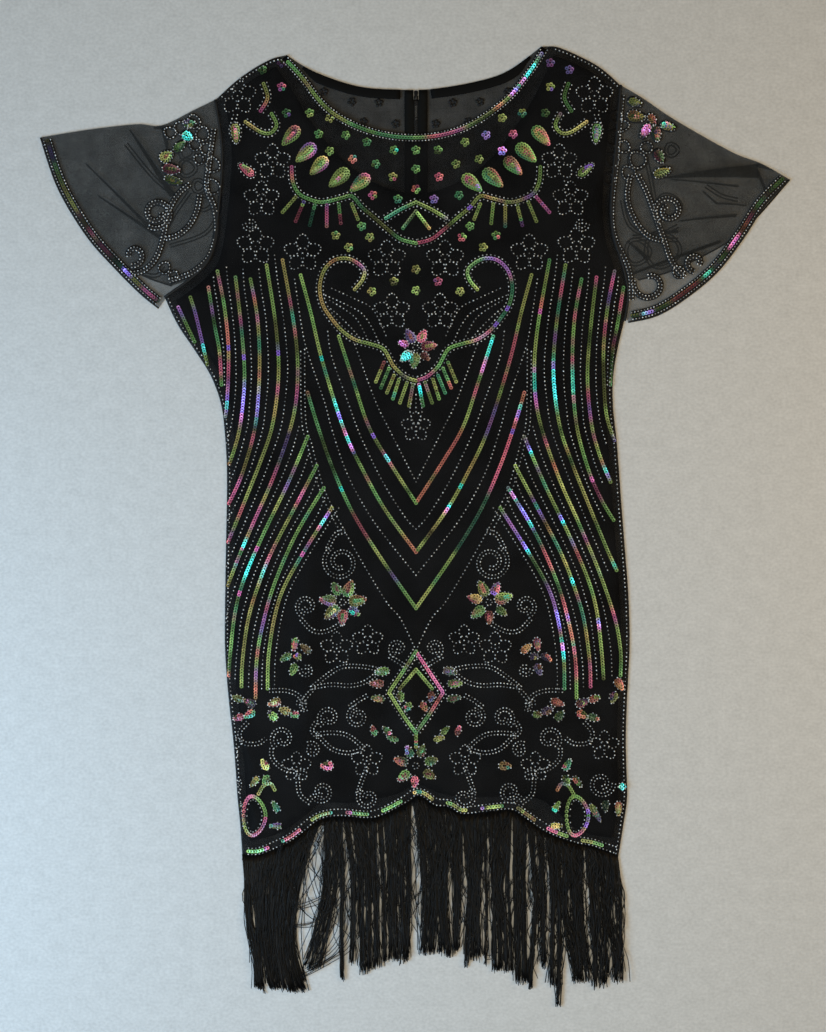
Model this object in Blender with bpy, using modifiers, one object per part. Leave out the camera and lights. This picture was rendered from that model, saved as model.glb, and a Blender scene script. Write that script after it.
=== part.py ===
"""Beaded flapper dress laid flat and face up, with its net, lining, zip, sleeves and fringe.

Sizes are in millimetres and become metres when a mesh is made. Outlines are given as across, from the
centre line to the viewer's right, and down, from the top of the shoulders. Left and right in names are
the viewer's. The dress lies on z = 0 with its neck towards +Y and its front towards +Z.
"""

import math

import bmesh
import bpy
from mathutils import Vector

MM = 0.001
COLLECTION_NAME = "flapper_dress"

# Overall placing
ACROSS_SHIFT = 0.8
HALF_LENGTH = 481.0

# Cloth
CLOTH = 1.0
GAP = 0.3
LAYER = CLOTH + GAP
EDGE_STEP = 15.0
FINE_STEP = 3.0
CURVE_PARTS = 8
STRAIGHT_TURN = 0.02
GRID = 30.0
GRID_MERGE = 0.05
FLOOR_LAYER = 0.0
BACK_LINING_LAYER = LAYER
FRONT_EDGE = LAYER
FRONT_LINING_LAYER = 2.0 * LAYER
NECK_LIFT = LAYER
FRONT_REST = 4.2
FRONT_RIM = 7.0
LINING_INSET = 9.0

# Neck binding
BINDING_FRONT = 6.0
BINDING_BACK = 9.5
BINDING_BACK_REACH = 106.0
LIFT_START = 106.0
LIFT_END = 86.0

# Zip
ZIP_TOP = 44.5
ZIP_BOTTOM = 524.0
TAPE_HALF = 11.5
TAPE_CENTRE = 0.15
LINING_FROM_ZIP = 12.0
SLIDER_HALF = 2.2
SLIDER_TOP = 45.0
SLIDER_BOTTOM = 54.0
SLIDER_UNDER = 1.25
SLIDER_OVER = 2.9
SLIDER_SLOT = 2.6
LUG_INNER = 1.55
LUG_OUTER = 2.15
LUG_TOP = 50.0
LUG_BOTTOM = 53.0
LUG_UNDER = 0.25
LUG_OVER = 1.35
PULL_SLOT = 3.2
PULL_SLOT_BOTTOM = 74.0
PULL_HINGE_DOWN = 51.5
PULL_HINGE_UP = 0.5
PULL_THICK = 0.8

# Fringe
LOCKS = 80
LOCK_ROOT_HALF = 1.45
LOCK_FILL = 0.62
HEM_EVERY = 3
STRIP_WIDTH = 6.0
HEM_GAP = 0.5
FRINGE_BACK_UNDER = 0.3
FRINGE_BACK_THICK = 0.7
FRINGE_MID_DOWN = 854.0
BACK_TIP_SHORTER = 10.0
LONG_LOCK_ROOT = 141.0
LONG_LOCK_DOWN = 961.0
TIP_VARIATION = 4.0
FRONT_LOCK_WAVE = 0.9

# Room left where two edges of an outline meet
CORNER_CLEAR = 10.0
NOTCH_CLEAR = 2.0
SLEEVE_CORNER_CLEAR = 4.0

# columns: across, down
NECK_FRONT = (
    (-129.0, 9.5),
    (-111.0, 29.0),
    (-84.0, 62.0),
    (-45.0, 82.0),
    (0.0, 88.3),
    (44.0, 80.0),
    (83.5, 55.0),
    (108.0, 27.0),
    (125.0, 1.0),
)

# columns: across, down
NECK_BACK = (
    (-129.0, 9.5),
    (-101.8, 26.0),
    (-59.7, 40.4),
    (-20.0, 44.0),
    (20.0, 43.0),
    (66.6, 34.5),
    (94.0, 24.0),
    (125.0, 1.0),
)

# columns: across, down
NECK_LINING = (
    (-145.0, 14.0),
    (-122.0, 48.0),
    (-104.0, 78.0),
    (-74.0, 114.0),
    (-38.0, 139.0),
    (0.0, 148.0),
    (38.0, 139.0),
    (74.0, 114.0),
    (103.0, 76.0),
    (122.0, 44.0),
    (141.0, 2.0),
)

# columns: across, down
SHOULDER_LEFT = (
    (-129.0, 9.5),
    (-147.0, 14.5),
    (-175.5, 32.0),
    (-200.0, 54.0),
)

# columns: across, down
SHOULDER_RIGHT = (
    (204.0, 39.5),
    (181.0, 20.0),
    (143.0, 2.0),
    (125.0, 1.0),
)

# columns: across, down
ARMHOLE_LEFT = (
    (-200.0, 54.0),
    (-193.5, 99.0),
    (-194.0, 135.0),
    (-199.5, 185.0),
    (-206.0, 213.0),
    (-222.0, 231.0),
    (-251.0, 252.0),
)

# columns: across, down
ARMHOLE_RIGHT = (
    (204.0, 39.5),
    (200.5, 90.0),
    (196.5, 130.0),
    (195.0, 162.0),
    (198.0, 192.0),
    (206.0, 219.0),
    (211.5, 247.0),
    (208.0, 275.0),
)

# columns: down, left, right
BODY_SIDES = (
    (275.0, -240.5, 208.0),
    (300.0, -224.0, 202.0),
    (325.0, -208.0, 198.0),
    (350.0, -196.5, 196.0),
    (400.0, -190.0, 201.0),
    (450.0, -189.0, 204.6),
    (500.0, -190.0, 208.5),
    (550.0, -190.7, 212.3),
    (600.0, -191.0, 213.5),
    (650.0, -187.5, 211.0),
    (700.0, -182.0, 209.6),
    (750.0, -178.5, 211.0),
    (780.0, -175.5, 207.0),
)

# columns: across, down
HEM = (
    (-173.6, 810.0),
    (-155.0, 810.0),
    (-126.0, 797.6),
    (-112.0, 787.8),
    (-95.0, 775.0),
    (-75.3, 771.7),
    (-47.3, 773.8),
    (-30.4, 769.6),
    (-6.6, 757.0),
    (3.0, 751.0),
    (18.0, 761.0),
    (32.0, 762.5),
    (46.0, 769.6),
    (74.0, 766.8),
    (95.0, 765.4),
    (106.4, 772.4),
    (130.3, 788.0),
    (158.3, 798.3),
    (176.6, 802.0),
    (202.0, 811.0),
)

# columns: across, down
HEM_LINING = (
    (-175.0, 796.0),
    (-140.0, 788.0),
    (-112.0, 770.0),
    (-95.0, 757.0),
    (-60.0, 756.0),
    (-20.0, 748.0),
    (0.0, 738.0),
    (28.0, 748.0),
    (60.0, 750.5),
    (119.0, 751.5),
    (140.0, 765.0),
    (158.0, 781.0),
    (175.0, 788.0),
    (205.0, 793.0),
)

# columns: across, down
SLEEVE_LEFT_TOP = (
    (-200.0, 54.0),
    (-221.5, 64.4),
    (-254.0, 80.0),
    (-279.0, 78.8),
    (-328.6, 84.4),
    (-375.0, 92.0),
)

# columns: across, down
SLEEVE_LEFT_HEM_UPPER = (
    (-375.0, 92.0),
    (-357.3, 142.8),
    (-328.6, 190.6),
    (-300.0, 223.0),
    (-275.0, 248.0),
    (-257.0, 262.5),
)

# columns: across, down
SLEEVE_LEFT_HEM_LOWER = (
    (-375.0, 92.0),
    (-362.0, 127.0),
    (-338.0, 170.0),
    (-300.0, 213.0),
    (-270.0, 231.0),
    (-244.0, 240.0),
)

# columns: across, down
SLEEVE_RIGHT_TOP = (
    (204.0, 39.5),
    (227.0, 53.0),
    (258.0, 74.0),
    (315.3, 106.4),
    (345.0, 118.0),
    (373.2, 134.0),
)

# columns: across, down
SLEEVE_RIGHT_HEM_UPPER = (
    (373.2, 134.0),
    (348.0, 160.0),
    (326.8, 192.5),
    (300.0, 227.0),
    (267.5, 253.8),
    (240.0, 270.0),
    (212.0, 276.5),
)

# columns: across, down
SLEEVE_RIGHT_HEM_LOWER = (
    (373.2, 134.0),
    (340.0, 172.0),
    (312.0, 196.0),
    (258.0, 224.0),
    (222.0, 234.0),
)

# columns: across_top, down_top, across_bottom, down_bottom, half_width, height
FRONT_FOLDS = (
    (-150.0, 300.0, -160.0, 640.0, 15.0, 2.6),
    (-107.0, 500.0, -112.0, 735.0, 12.0, 3.4),
    (-64.0, 580.0, -52.0, 745.0, 16.0, 2.0),
    (-8.0, 560.0, -6.0, 735.0, 13.0, 3.0),
    (92.0, 520.0, 84.0, 745.0, 14.0, 2.8),
    (148.0, 330.0, 162.0, 690.0, 16.0, 2.6),
    (-90.0, 120.0, 60.0, 138.0, 11.0, 1.6),
    (-150.0, 205.0, -40.0, 235.0, 14.0, 1.8),
    (50.0, 240.0, 160.0, 215.0, 14.0, 1.8),
)

# columns: across_top, down_top, across_bottom, down_bottom, half_width, height
SLEEVE_FOLDS = (
    (-215.0, 115.0, -320.0, 150.0, 13.0, 2.4),
    (-212.0, 180.0, -290.0, 212.0, 12.0, 2.0),
    (222.0, 140.0, 340.0, 124.0, 9.0, 3.6),
    (226.0, 172.0, 322.0, 172.0, 12.0, 2.2),
    (350.0, 128.0, 374.0, 140.0, 12.0, 4.0),
)

# columns: root_from, root_to, mid_from, mid_to, tip_from, tip_to, tip_down
FRINGE_CLUMPS = (
    (-174.0, -98.0, -170.0, -119.0, -161.0, -109.0, 942.0),
    (-98.0, -73.0, -97.0, -80.0, -106.0, -84.0, 916.0),
    (-73.0, -68.0, -77.0, -73.0, -79.0, -75.0, 930.0),
    (-68.0, -58.0, -67.0, -59.0, -66.0, -59.5, 915.0),
    (-58.0, -31.0, -57.5, -36.0, -57.0, -35.0, 920.0),
    (-31.0, -6.0, -32.0, -7.5, -31.0, -7.0, 912.0),
    (-6.0, -1.0, -4.5, -1.5, -4.0, -1.0, 905.0),
    (-1.0, 39.0, 9.0, 38.0, 8.0, 36.0, 907.0),
    (39.0, 51.0, 41.0, 49.0, 39.5, 45.0, 906.0),
    (51.0, 67.0, 52.0, 66.0, 49.0, 65.0, 913.0),
    (67.0, 90.0, 70.0, 89.0, 76.0, 88.0, 922.0),
    (90.0, 110.0, 94.0, 109.0, 98.0, 110.0, 934.0),
    (110.0, 124.0, 112.0, 124.0, 113.0, 122.0, 937.0),
    (124.0, 140.0, 128.0, 140.0, 132.0, 141.0, 936.0),
    (140.0, 204.0, 152.0, 208.0, 162.0, 209.0, 934.0),
)

# columns: half_width, down
PULL_OUTLINE = (
    (1.25, 51.1),
    (1.25, 54.0),
    (1.7, 57.0),
    (2.3, 62.0),
    (2.4, 66.0),
    (2.0, 69.5),
    (1.0, 71.2),
)


def clear_scene():
    """Removes whatever the new file holds."""
    for old in list(bpy.data.objects):
        bpy.data.objects.remove(old, do_unlink=True)


def make_collection(name):
    """A collection linked to the scene."""
    collection = bpy.data.collections.new(name)
    bpy.context.scene.collection.children.link(collection)
    return collection


def make_material(name, colour, roughness, metallic=0.0, alpha=1.0):
    """One Principled material."""
    material = bpy.data.materials.new(name)
    material.use_nodes = True
    shader = material.node_tree.nodes["Principled BSDF"]
    shader.inputs["Base Color"].default_value = (*colour, 1.0)
    shader.inputs["Roughness"].default_value = roughness
    shader.inputs["Metallic"].default_value = metallic
    shader.inputs["Alpha"].default_value = alpha
    return material


def place(across, down):
    """A garment point in the part's own frame, in millimetres."""
    return Vector((across + ACROSS_SHIFT, HALF_LENGTH - down))


def curve_point(before, start, end, after, part):
    """A point on the curve from start to end that leaves and arrives along its neighbours."""
    square = part * part
    cube = square * part
    leave = (end - before) * 0.5
    arrive = (after - start) * 0.5
    return (
        start * (2 * cube - 3 * square + 1)
        + end * (3 * square - 2 * cube)
        + leave * (cube - 2 * square + part)
        + arrive * (cube - square)
    )


def even_points(points, step):
    """The polyline's points at an even spacing close to step, with both ends kept."""
    lengths = [0.0]
    for first, second in zip(points, points[1:]):
        lengths.append(lengths[-1] + (second - first).length)
    count = max(1, round(lengths[-1] / step))
    result = []
    index = 0
    for number in range(count + 1):
        target = lengths[-1] * number / count
        while index < len(points) - 2 and lengths[index + 1] < target:
            index += 1
        span = max(lengths[index + 1] - lengths[index], 1e-9)
        part = min(1.0, (target - lengths[index]) / span)
        result.append(points[index].lerp(points[index + 1], part))
    return result


def smooth_edge(table, step=EDGE_STEP):
    """Points at an even spacing on the smooth curve through a table of across and down."""
    knots = [place(across, down) for across, down in table]
    fine = []
    for index in range(len(knots) - 1):
        before = knots[max(index - 1, 0)]
        after = knots[min(index + 2, len(knots) - 1)]
        for number in range(CURVE_PARTS):
            part = number / CURVE_PARTS
            fine.append(curve_point(before, knots[index], knots[index + 1], after, part))
    fine.append(knots[-1])
    return even_points(fine, step)


def value_at(points, x):
    """The y of a polyline, whose x grows, at a given x."""
    for first, second in zip(points, points[1:]):
        if x <= second.x:
            part = (x - first.x) / max(second.x - first.x, 1e-9)
            return first.y + (second.y - first.y) * part
    return points[-1].y


def lock_roots():
    """Across places of the fringe locks' roots, evenly spaced along the hem."""
    start = HEM[0][0] + LOCK_ROOT_HALF
    pitch = (HEM[-1][0] - LOCK_ROOT_HALF - start) / (LOCKS - 1)
    return [start + pitch * number for number in range(LOCKS)]


def hem_edge():
    """The hem from left to right, with its corners where a lock's root ends."""
    fine = smooth_edge(HEM, FINE_STEP)
    edge = [fine[0]]
    for across in lock_roots()[HEM_EVERY::HEM_EVERY]:
        x = across + LOCK_ROOT_HALF + ACROSS_SHIFT
        if fine[-1].x - x > FINE_STEP:
            edge.append(Vector((x, value_at(fine, x))))
    edge.append(fine[-1])
    return edge


def body_ring(neck, hem):
    """The body's closed outline from above, and the name of the edge that starts at each point."""
    hem_left = HALF_LENGTH - hem[0].y
    hem_right = HALF_LENGTH - hem[-1].y
    left_rows = [(left, down) for down, left, right in BODY_SIDES if down < hem_left - CORNER_CLEAR]
    right_rows = [(right, down) for down, left, right in BODY_SIDES if down < hem_right - CORNER_CLEAR]
    left_end = (hem[0].x - ACROSS_SHIFT, hem_left)
    right_end = (hem[-1].x - ACROSS_SHIFT, hem_right)
    neck_points = smooth_edge(neck)
    left_corner = (neck_points[0].x - ACROSS_SHIFT, HALF_LENGTH - neck_points[0].y)
    right_corner = (neck_points[-1].x - ACROSS_SHIFT, HALF_LENGTH - neck_points[-1].y)
    edges = (
        ("neck", neck_points[::-1]),
        ("shoulder", smooth_edge((left_corner,) + SHOULDER_LEFT[1:])),
        ("armhole", smooth_edge(ARMHOLE_LEFT)),
        ("side", smooth_edge([ARMHOLE_LEFT[-1]] + left_rows + [left_end], 2.0 * EDGE_STEP)),
        ("hem", hem),
        ("side", smooth_edge([ARMHOLE_RIGHT[-1]] + right_rows[1:] + [right_end], 2.0 * EDGE_STEP)[::-1]),
        ("armhole", smooth_edge(ARMHOLE_RIGHT)[::-1]),
        ("shoulder", smooth_edge(SHOULDER_RIGHT[:-1] + (right_corner,))),
    )
    ring = []
    names = []
    for name, points in edges:
        ring.extend(points[:-1])
        names.extend([name] * (len(points) - 1))
    return ring, names


def inset_ring(ring, names, insets):
    """The outline with each edge moved inwards by its own distance and met again at the corners."""
    result = []
    count = len(ring)
    for index in range(count):
        here = ring[index]
        before = (here - ring[index - 1]).normalized()
        after = (ring[(index + 1) % count] - here).normalized()
        in_before = Vector((-before.y, before.x))
        in_after = Vector((-after.y, after.x))
        move_before = insets[names[index - 1]]
        move_after = insets[names[index]]
        turn = before.x * after.y - before.y * after.x
        if abs(turn) < STRAIGHT_TURN:
            result.append(here + in_after * (move_before + move_after) * 0.5)
            continue
        start = in_before * move_before
        along = (in_after * move_after - start).cross(after) / before.cross(after)
        result.append(here + start + before * along)
    return result


def half_outline(ring, side, notch_half, notch_bottom):
    """One half of a closed outline, with a notch beside the centre line down from the neck."""
    centre = ACROSS_SHIFT
    notch_y = HALF_LENGTH - notch_bottom
    kept = [side * (point.x - centre) > notch_half + NOTCH_CLEAR for point in ring]
    count = len(ring)
    first = next(i for i in range(count) if kept[i] and not kept[i - 1])
    chain = []
    index = first
    while kept[index % count]:
        chain.append(ring[index % count])
        index += 1
    outside = ring[index % count]
    inside = ring[(first - 1) % count]
    near = centre + side * TAPE_CENTRE
    notch = centre + side * notch_half

    def crossing(from_point, to_point, x):
        part = (x - from_point.x) / (to_point.x - from_point.x)
        return Vector((x, from_point.y + (to_point.y - from_point.y) * part))

    hem_first = chain[0].y < chain[-1].y
    if hem_first:
        top = crossing(chain[-1], outside, notch)
        bottom = crossing(chain[0], inside, near)
        closing = [top, Vector((notch, notch_y)), Vector((near, notch_y)), bottom]
    else:
        top = crossing(chain[0], inside, notch)
        bottom = crossing(chain[-1], outside, near)
        closing = [bottom, Vector((near, notch_y)), Vector((notch, notch_y)), top]
    return chain + closing


def fold_height(rows, x, y):
    """How far the soft folds in a table raise the cloth at a point."""
    here = Vector((x, y))
    height = 0.0
    for across_top, down_top, across_bottom, down_bottom, half_width, rise in rows:
        top = place(across_top, down_top)
        along = place(across_bottom, down_bottom) - top
        part = (here - top).dot(along) / along.length_squared
        if not 0.0 < part < 1.0:
            continue
        distance = (here - top - along * part).length / half_width
        height += rise * math.sin(math.pi * part) * math.exp(-distance * distance)
    return height


def neck_lift(x):
    """How far the front neck edge is raised, to pass over the zip tapes behind it."""
    part = (LIFT_START - abs(x - ACROSS_SHIFT)) / (LIFT_START - LIFT_END)
    return NECK_LIFT * min(1.0, max(0.0, part))


def finish_object(name, bm, material, collection, origin=(0.0, 0.0, 0.0)):
    """Turns a bmesh in millimetres into a named object in metres, with its origin where given."""
    bmesh.ops.recalc_face_normals(bm, faces=bm.faces)
    base = Vector(origin)
    for vert in bm.verts:
        vert.co = (vert.co - base) * MM
    mesh = bpy.data.meshes.new(name)
    bm.to_mesh(mesh)
    bm.free()
    mesh.materials.append(material)
    obj = bpy.data.objects.new(name, mesh)
    obj.location = base * MM
    collection.objects.link(obj)
    return obj


def raise_cloth(bm, thickness):
    """Thickens cloth that lies flat: its faces are extruded straight up."""
    extruded = bmesh.ops.extrude_face_region(bm, geom=bm.faces[:])
    top = [item for item in extruded["geom"] if isinstance(item, bmesh.types.BMVert)]
    bmesh.ops.translate(bm, verts=top, vec=(0.0, 0.0, thickness))


def cut_grid(bm, step):
    """Cuts the faces along a square grid, so that they can follow folds."""
    xs = [vert.co.x for vert in bm.verts]
    ys = [vert.co.y for vert in bm.verts]
    for low, high, normal in ((min(xs), max(xs), (1, 0, 0)), (min(ys), max(ys), (0, 1, 0))):
        count = int((high - low) / step)
        first = (low + high - (count - 1) * step) * 0.5
        for number in range(count):
            where = [value * (first + number * step) for value in normal]
            geometry = bm.verts[:] + bm.edges[:] + bm.faces[:]
            bmesh.ops.bisect_plane(
                bm, geom=geometry, dist=GRID_MERGE, plane_co=where, plane_no=normal
            )


def flat_piece(name, outline, under, material, collection, thickness=CLOTH):
    """A piece of cloth cut to an outline, lying level."""
    bm = bmesh.new()
    bm.faces.new([bm.verts.new((point.x, point.y, under)) for point in outline])
    raise_cloth(bm, thickness)
    return finish_object(name, bm, material, collection)


def strip_piece(name, outer, inner, under, material, collection, thickness=CLOTH):
    """A ribbon between two edges with equally many points; under gives its height at an x."""
    bm = bmesh.new()
    first = [bm.verts.new((point.x, point.y, under(point.x))) for point in outer]
    second = [bm.verts.new((point.x, point.y, under(point.x))) for point in inner]
    for index in range(len(first) - 1):
        bm.faces.new((first[index], first[index + 1], second[index + 1], second[index]))
    raise_cloth(bm, thickness)
    return finish_object(name, bm, material, collection)


def shifted_edge(points, distance):
    """An open polyline moved sideways by a distance, to the left of its direction."""
    result = []
    last = len(points) - 1
    for index, here in enumerate(points):
        before = (here - points[max(index - 1, 0)]) if index else (points[1] - here)
        after = (points[min(index + 1, last)] - here) if index < last else before
        before = before.normalized()
        after = after.normalized()
        middle = (before + after).normalized()
        side = Vector((-middle.y, middle.x))
        result.append(here + side * distance / max(0.3, middle.dot(before)))
    return result


def build_front(ring, names, material, collection):
    """The front net panel: low at its edges, and over the lining it carries soft folds."""
    insets = {"neck": BINDING_FRONT + GAP, "shoulder": 0.0, "armhole": 0.0, "side": 0.0, "hem": 0.0}
    outline = inset_ring(ring, names, insets)
    rim = inset_ring(outline, names, dict.fromkeys(insets, FRONT_RIM))
    bm = bmesh.new()
    outer = []
    for index, point in enumerate(outline):
        on_neck = names[index] == "neck" or names[index - 1] == "neck"
        under = FRONT_EDGE + (neck_lift(point.x) if on_neck else 0.0)
        outer.append(bm.verts.new((point.x, point.y, under)))
    inner = [bm.verts.new((point.x, point.y, FRONT_REST)) for point in rim]
    count = len(outer)
    for index in range(count):
        after = (index + 1) % count
        bm.faces.new((outer[index], outer[after], inner[after], inner[index]))
    bm.faces.new(inner)
    cut_grid(bm, GRID)
    over_neck = FRONT_EDGE + NECK_LIFT
    for vert in bm.verts:
        weight = max(0.0, (vert.co.z - over_neck) / (FRONT_REST - over_neck))
        vert.co.z += weight * fold_height(FRONT_FOLDS, vert.co.x, vert.co.y)
    raise_cloth(bm, CLOTH)
    finish_object("front_panel", bm, material, collection)


def build_bodies(materials, collection):
    """Net panels, linings and neck bindings of the body."""
    hem = hem_edge()
    ring, names = body_ring(NECK_FRONT, hem)
    build_front(ring, names, materials["front_panel"], collection)

    back_ring, _ = body_ring(NECK_BACK, hem)
    insets = {"neck": 0.0, "hem": 0.0}
    insets.update(dict.fromkeys(("shoulder", "armhole", "side"), LINING_INSET))
    lining_ring = inset_ring(*body_ring(NECK_LINING, smooth_edge(HEM_LINING)), insets)
    flat_piece("lining_front", lining_ring, FRONT_LINING_LAYER, materials["lining_front"], collection)

    neck_left_to_right = smooth_edge(NECK_FRONT)
    neck_inner = shifted_edge(neck_left_to_right, -BINDING_FRONT)
    strip_piece(
        "neck_binding_front",
        neck_left_to_right,
        neck_inner,
        lambda x: FRONT_EDGE + neck_lift(x),
        materials["neck_binding_front"],
        collection,
    )
    for side, label in ((-1, "left"), (1, "right")):
        back_half = half_outline(back_ring, side, PULL_SLOT, PULL_SLOT_BOTTOM)
        name = "back_" + label
        flat_piece(name, back_half, FLOOR_LAYER, materials[name], collection)
        lining_half = half_outline(lining_ring, side, LINING_FROM_ZIP, ZIP_BOTTOM + GAP)
        name = "lining_back_" + label
        flat_piece(name, lining_half, BACK_LINING_LAYER, materials[name], collection)
        name = "neck_binding_back_" + label
        top = [
            point
            for point in smooth_edge(NECK_BACK, 8.0)
            if LINING_FROM_ZIP < side * (point.x - ACROSS_SHIFT) < BINDING_BACK_REACH
        ]
        bottom = shifted_edge(top, -BINDING_BACK)
        strip_piece(name, top, bottom, lambda x: BACK_LINING_LAYER, materials[name], collection)


def build_zip(materials, collection, cutters):
    """Zip tapes, the slider with its two lugs, and the pull tab between them."""
    for side, label in ((-1, "left"), (1, "right")):
        corners = (
            (SLIDER_SLOT, ZIP_TOP),
            (TAPE_HALF, ZIP_TOP),
            (TAPE_HALF, ZIP_BOTTOM),
            (TAPE_CENTRE, ZIP_BOTTOM),
            (TAPE_CENTRE, SLIDER_BOTTOM + GAP),
            (SLIDER_SLOT, SLIDER_BOTTOM + GAP),
        )
        outline = [place(side * across, down) for across, down in corners]
        name = "zip_tape_" + label
        flat_piece(name, outline, BACK_LINING_LAYER, materials[name], collection)

    slider = add_block("zip_slider", (-SLIDER_HALF, SLIDER_HALF), (SLIDER_TOP, SLIDER_BOTTOM),
                       (SLIDER_UNDER, SLIDER_OVER), materials["zip_slider"], collection)
    for side, label in ((-1, "left"), (1, "right")):
        across = sorted((side * LUG_INNER, side * LUG_OUTER))
        lug = add_block("slider_lug_" + label, across, (LUG_TOP, LUG_BOTTOM), (LUG_UNDER, LUG_OVER),
                        materials["zip_slider"], cutters)
        lug.hide_render = True
        lug.display_type = "WIRE"
        union = slider.modifiers.new("lug_" + label, "BOOLEAN")
        union.operation = "UNION"
        union.solver = "EXACT"
        union.object = lug

    right = [place(half, down) for half, down in PULL_OUTLINE]
    left = [place(-half, down) for half, down in reversed(PULL_OUTLINE)]
    under = PULL_HINGE_UP - PULL_THICK * 0.5
    bm = bmesh.new()
    bm.faces.new([bm.verts.new((point.x, point.y, under)) for point in right + left])
    raise_cloth(bm, PULL_THICK)
    hinge = place(0.0, PULL_HINGE_DOWN)
    origin = (hinge.x, hinge.y, PULL_HINGE_UP)
    finish_object("zip_pull", bm, materials["zip_pull"], collection, origin)


def add_block(name, across, down, up, material, collection):
    """A rectangular block from its three ranges."""
    low = place(across[0], down[1])
    high = place(across[1], down[0])
    size = Vector((high.x - low.x, high.y - low.y, up[1] - up[0]))
    middle = Vector((high.x + low.x, high.y + low.y, up[1] + up[0])) * 0.5
    bm = bmesh.new()
    bmesh.ops.create_cube(bm, size=1.0)
    for vert in bm.verts:
        vert.co = Vector([vert.co[axis] * size[axis] for axis in range(3)]) + middle
    return finish_object(name, bm, material, collection, middle)


def nearest_on_edge(points, here):
    """Distance from a point to a polyline."""
    best = 1e9
    for first, second in zip(points, points[1:]):
        along = second - first
        part = min(1.0, max(0.0, (here - first).dot(along) / along.length_squared))
        best = min(best, (here - first - along * part).length)
    return best


def build_sleeve(label, outward, top_table, armhole_table, upper_table, lower_table, material, collection):
    """A flutter sleeve folded along its top edge: two layers of net joined by the fold."""
    armhole = shifted_edge(smooth_edge(armhole_table), outward * GAP)
    top = smooth_edge(top_table)
    top[0] = top[0].lerp(top[1], 0.1)
    upper_hem = smooth_edge(upper_table)
    lower_hem = smooth_edge(lower_table)
    lower_end = lower_hem[-1]
    lower_armhole = [point for point in armhole[1:] if point.y > lower_end.y + SLEEVE_CORNER_CLEAR]
    upper_z = FRONT_EDGE + CLOTH * 0.5
    lower_z = FLOOR_LAYER + CLOTH * 0.5
    bm = bmesh.new()

    def layer(hem, seam, height):
        fold = [bm.verts.new((point.x, point.y, height)) for point in top]
        rest = [bm.verts.new((point.x, point.y, height)) for point in hem[1:] + seam[::-1]]
        bm.faces.new(fold + rest)
        return fold

    upper_fold = layer(upper_hem, armhole[1:], upper_z)
    lower_fold = layer(lower_hem, lower_armhole, lower_z)
    for index in range(len(top) - 1):
        bm.faces.new((upper_fold[index], upper_fold[index + 1], lower_fold[index + 1], lower_fold[index]))
    cut_grid(bm, GRID)
    for vert in bm.verts:
        if vert.co.z < FRONT_EDGE:
            continue
        here = vert.co.xy
        clear = min(nearest_on_edge(top, here), nearest_on_edge(armhole, here)) / EDGE_STEP
        vert.co.z += min(1.0, clear) * fold_height(SLEEVE_FOLDS, here.x, here.y)
    obj = finish_object("sleeve_" + label, bm, material, collection)
    wall = obj.modifiers.new("cloth", "SOLIDIFY")
    wall.thickness = CLOTH * MM
    wall.offset = 0.0
    wall.use_even_offset = True


def lock_paths(tip_shorter):
    """For each lock: its across centre and half width at the mid level and tip, and its tip's down."""
    roots = lock_roots()
    paths = []
    for root_from, root_to, mid_from, mid_to, tip_from, tip_to, tip_down in FRINGE_CLUMPS:
        members = [root for root in roots if root_from <= root < root_to]
        if not members:
            continue
        mid_pitch = (mid_to - mid_from) / len(members)
        tip_pitch = (tip_to - tip_from) / len(members)
        for number, root in enumerate(members):
            mid = mid_from + mid_pitch * (number + 0.5)
            tip = tip_from + tip_pitch * (number + 0.5)
            down = tip_down - tip_shorter + TIP_VARIATION * math.sin(2.3 * root)
            if root_from <= LONG_LOCK_ROOT < root_to and number == 0:
                down = LONG_LOCK_DOWN - tip_shorter
            mid_half = min(LOCK_ROOT_HALF, 0.5 * LOCK_FILL * mid_pitch)
            tip_half = min(LOCK_ROOT_HALF * 0.8, 0.5 * LOCK_FILL * tip_pitch)
            paths.append((root, mid, mid_half, tip, tip_half, down))
    return paths


def build_fringe(name, hem, under, thickness, tip_shorter, wave, material, collection):
    """Fringe locks that hang from a narrow strip, which runs just below the hem's edge."""
    bm = bmesh.new()
    tops = []
    bottoms = []

    def column(across):
        x = across + ACROSS_SHIFT
        y = value_at(hem, x) - HEM_GAP
        tops.append(bm.verts.new((x, y, under)))
        bottoms.append(bm.verts.new((x, y - STRIP_WIDTH, under)))

    for root, mid, mid_half, tip, tip_half, down in lock_paths(tip_shorter):
        column(root - LOCK_ROOT_HALF)
        column(root + LOCK_ROOT_HALF)
        left, right = bottoms[-2:]
        root_down = HALF_LENGTH - left.co.y
        rise = wave * (1.0 + math.sin(1.9 * root))
        quarter = 0.5 * (root + mid)
        rows = (
            (0.5 * (root_down + FRINGE_MID_DOWN), quarter, 0.5 * (LOCK_ROOT_HALF + mid_half), rise * 0.6),
            (FRINGE_MID_DOWN, mid, mid_half, rise),
            (down, tip, tip_half, rise * 0.4),
        )
        for row_down, centre, half, lift in rows:
            next_left = bm.verts.new((*place(centre - half, row_down), under + lift))
            next_right = bm.verts.new((*place(centre + half, row_down), under + lift))
            bm.faces.new((left, right, next_right, next_left))
            left, right = next_left, next_right
    for index in range(len(tops) - 1):
        bm.faces.new((tops[index], tops[index + 1], bottoms[index + 1], bottoms[index]))
    raise_cloth(bm, thickness)
    finish_object(name, bm, material, collection)


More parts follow.
